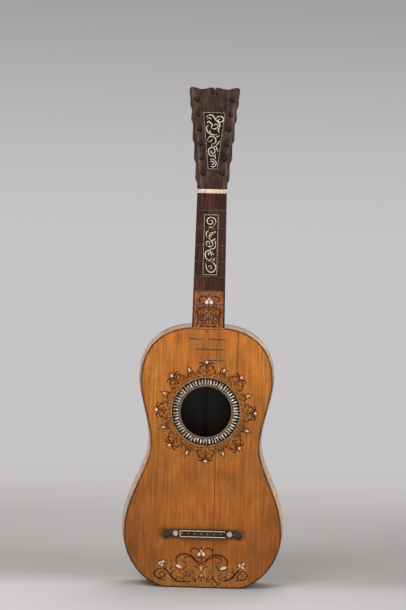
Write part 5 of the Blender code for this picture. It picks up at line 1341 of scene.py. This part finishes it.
# Panels in mm: the fingerboard's by height on the guitar, the head's from the head's foot
boardPanel = {"foot": 549.03, "top": 654.505, "half": 12.5, "frame": 1.4}
headPanel = {"foot": 34.8, "top": 134.3, "footHalf": 8.5, "topHalf": 19.0, "frame": 1.4}
panelCut = {"floor": -1.7, "ground": -0.18, "low": -1.0, "high": 0.05}      # out from the face


def onBoard(u, v, n):
    return onFace(u, v + boardPanel["foot"], n)


def panelGround(name, node, place, low, high, lowHalf, highHalf, look):
    # the dark ground inside a panel's frame, a little below the face
    work = bmesh.new()
    corners = ((-lowHalf, low), (lowHalf, low), (highHalf, high), (-highHalf, high))
    sewRings(work, [[work.verts.new(place(u, v, n)) for u, v in corners]
                    for n in (panelCut["floor"], panelCut["ground"])])
    ridePiece(name, drawnMesh(name, work), looks[look], replaced=[node])


def makePanels():
    line = boardPanel["frame"]
    half = boardPanel["half"] - line
    panelGround("board_panel_ground", "fingerboard_panel_field", onBoard, line,
                boardPanel["top"] - boardPanel["foot"] - line, half, half, "rosewoodGround")
    inlay("board_panel_scrolls", boardScrolls, "scrapedBone", "bone", onBoard, bold=0.92, ends=0.45,
          low=panelCut["low"], high=panelCut["high"])
    line = headPanel["frame"]
    panelGround("head_panel_ground", "head_panel_field", onHead, headPanel["foot"] + line,
                headPanel["top"] - line, headPanel["footHalf"] - line, headPanel["topHalf"] - line,
                "stainedGround")
    inlay("head_panel_scrolls", headScrolls, "greyedBone", "bone", onHead, bold=1.0, ends=0.45,
          low=panelCut["low"], high=panelCut["high"])


makePanels()

print("frets")

frets = {
    "stringLength": 594.0, "crest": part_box("nut")[1][2] / mm - 3.5,     # mm, as all lengths here
    "count": 8, "wire": 1.5, "stand": 1.0, "sides": 14,
    "halfAtBody": 28.1, "halfAtNut": 25.5, "bodyEnd": 457.0, "sharp": 50,
}


def fretTree():
    # each fret stands at the string length over the twelfth root of two, and is as wide as the neck there
    tree, given = newTree("fretsByRule", {
        "Count": ("Int", 8), "String length": ("Float", 0.594), "Crest height": ("Float", 0.695),
        "Wire width": ("Float", 0.0015), "Stand": ("Float", 0.001), "Face": ("Float", faceY),
        "Body end": ("Float", 0.457), "Half at body": ("Float", 0.0281), "Half at nut": ("Float", 0.0255)})
    spots = addNode(tree, "GeometryNodeMeshLine", {"Count": given["Count"], "Offset": (0, 0, 0)})
    index = addNode(tree, "GeometryNodeInputIndex")
    number = addNode(tree, "ShaderNodeMath", {0: index, 1: 1.0}, operation="ADD")
    octaves = addNode(tree, "ShaderNodeMath", {0: number, 1: -12.0}, operation="DIVIDE")
    share = addNode(tree, "ShaderNodeMath", {0: 2.0, 1: octaves}, operation="POWER")
    gone = addNode(tree, "ShaderNodeMath", {0: 1.0, 1: share}, operation="SUBTRACT")
    drop = addNode(tree, "ShaderNodeMath", {0: gone, 1: given["String length"]}, operation="MULTIPLY")
    height = addNode(tree, "ShaderNodeMath", {0: given["Crest height"], 1: drop}, operation="SUBTRACT")
    place = addNode(tree, "ShaderNodeCombineXYZ", {1: given["Face"], 2: height})
    placed = addNode(tree, "GeometryNodeSetPosition", {"Geometry": spots, "Position": place})
    half = addNode(tree, "ShaderNodeMapRange", {
        "Value": height, "From Min": given["Body end"], "From Max": given["Crest height"],
        "To Min": given["Half at body"], "To Max": given["Half at nut"]})
    line = addNode(tree, "GeometryNodeCurvePrimitiveLine", {"Start": (-1, 0, 0), "End": (1, 0, 0)})
    section = addNode(tree, "GeometryNodeCurvePrimitiveCircle", {"Resolution": frets["sides"], "Radius": 1.0})
    wire = addNode(tree, "GeometryNodeCurveToMesh", {"Curve": line, "Profile Curve": section,
                                                     "Fill Caps": True})
    halfWire = addNode(tree, "ShaderNodeMath", {0: given["Wire width"], 1: 0.5}, operation="MULTIPLY")
    size = addNode(tree, "ShaderNodeCombineXYZ", {0: half, 1: given["Stand"], 2: halfWire})
    bars = addNode(tree, "GeometryNodeInstanceOnPoints", {"Points": placed, "Instance": wire, "Scale": size})
    endTree(tree, bars, "wornBrass")
    return tree


fretMesh = growMesh("frets", fretTree(), {
    "Count": frets["count"], "String length": frets["stringLength"] * mm, "Crest height": frets["crest"] * mm,
    "Wire width": frets["wire"] * mm, "Stand": frets["stand"] * mm, "Body end": frets["bodyEnd"] * mm,
    "Half at body": frets["halfAtBody"] * mm, "Half at nut": frets["halfAtNut"] * mm})
ridePiece("frets", smoothed(fretMesh, frets["sharp"]),
          replaced=["fret_%d" % (n + 1) for n in range(frets["count"])])

print("bridge")

# Bone edging of the tie block, open at its right end, and the long arrises carved on each end of the base,
# lighter as a painted highlight
bridgeLine = {"half": 39.2, "foot": 90.9, "head": 101.1, "level": 8.1, "stand": 0.9, "width": 1.25}
bridgeCarving = {
    "low": 2.4, "high": 3.7,
    "strokes": (
        (1.3, ((52.5, 98.6), (57.0, 98.8), (61.2, 97.2), (64.6, 93.6), (64.4, 90.4)), True),
        (1.1, ((53.0, 94.4), (57.0, 94.6), (60.0, 92.8), (61.2, 90.6)), True),
        (1.0, ((54.6, 97.2), (58.4, 97.0), (61.6, 95.0)), True),
        (0.9, ((52.8, 100.6), (57.4, 101.0), (61.0, 99.8)), True)),
}


def makeBridgeTrim():
    half, foot, head = bridgeLine["half"], bridgeLine["foot"], bridgeLine["head"]
    strips = (((-half, head), (0, head), (half, head)), ((-half, foot), (0, foot), (half, foot)),
              ((-half, foot), (-half, (foot + head) / 2), (-half, head)))
    level = bridgeLine["level"]
    inlay("bridge_bone_edging", [(bridgeLine["width"], strip) for strip in strips], "scrapedBone", "bone",
          replaced=["bridge_bone_line"], low=level, high=level + bridgeLine["stand"], ends=1.0)
    inlay("bridge_carving", bridgeCarving["strokes"], "rubbedEbony", "ebony", low=bridgeCarving["low"],
          high=bridgeCarving["high"])


makeBridgeTrim()

bridgeDots = {"count": 7, "pitch": 11.3, "start": -36.0, "height": 96.2, "top": 7.85,     # mm
              "radius": 0.75, "squash": 0.7, "segments": 12, "rings": 8}


def dotTree():
    # small bone pins along the tie block
    tree, given = newTree("bridgeDots", {
        "Count": ("Int", 7), "Pitch": ("Float", 0.0113), "Start": ("Vector", (0, 0, 0)),
        "Radius": ("Float", 0.001)})
    step = addNode(tree, "ShaderNodeCombineXYZ", {0: given["Pitch"]})
    spots = addNode(tree, "GeometryNodeMeshLine", {"Count": given["Count"], "Start Location": given["Start"],
                                                   "Offset": step})
    pin = addNode(tree, "GeometryNodeMeshUVSphere", {
        "Segments": bridgeDots["segments"], "Rings": bridgeDots["rings"], "Radius": given["Radius"]})
    pins = addNode(tree, "GeometryNodeInstanceOnPoints", {"Points": spots, "Instance": pin,
                                                          "Scale": (1, bridgeDots["squash"], 1)})
    endTree(tree, pins, "scrapedBone")
    return tree


dotMesh = growMesh("bridge_pins", dotTree(), {
    "Count": bridgeDots["count"], "Pitch": bridgeDots["pitch"] * mm, "Radius": bridgeDots["radius"] * mm,
    "Start": onFace(bridgeDots["start"], bridgeDots["height"], bridgeDots["top"])})
dotMesh.shade_smooth()
ridePiece("bridge_pins", dotMesh)
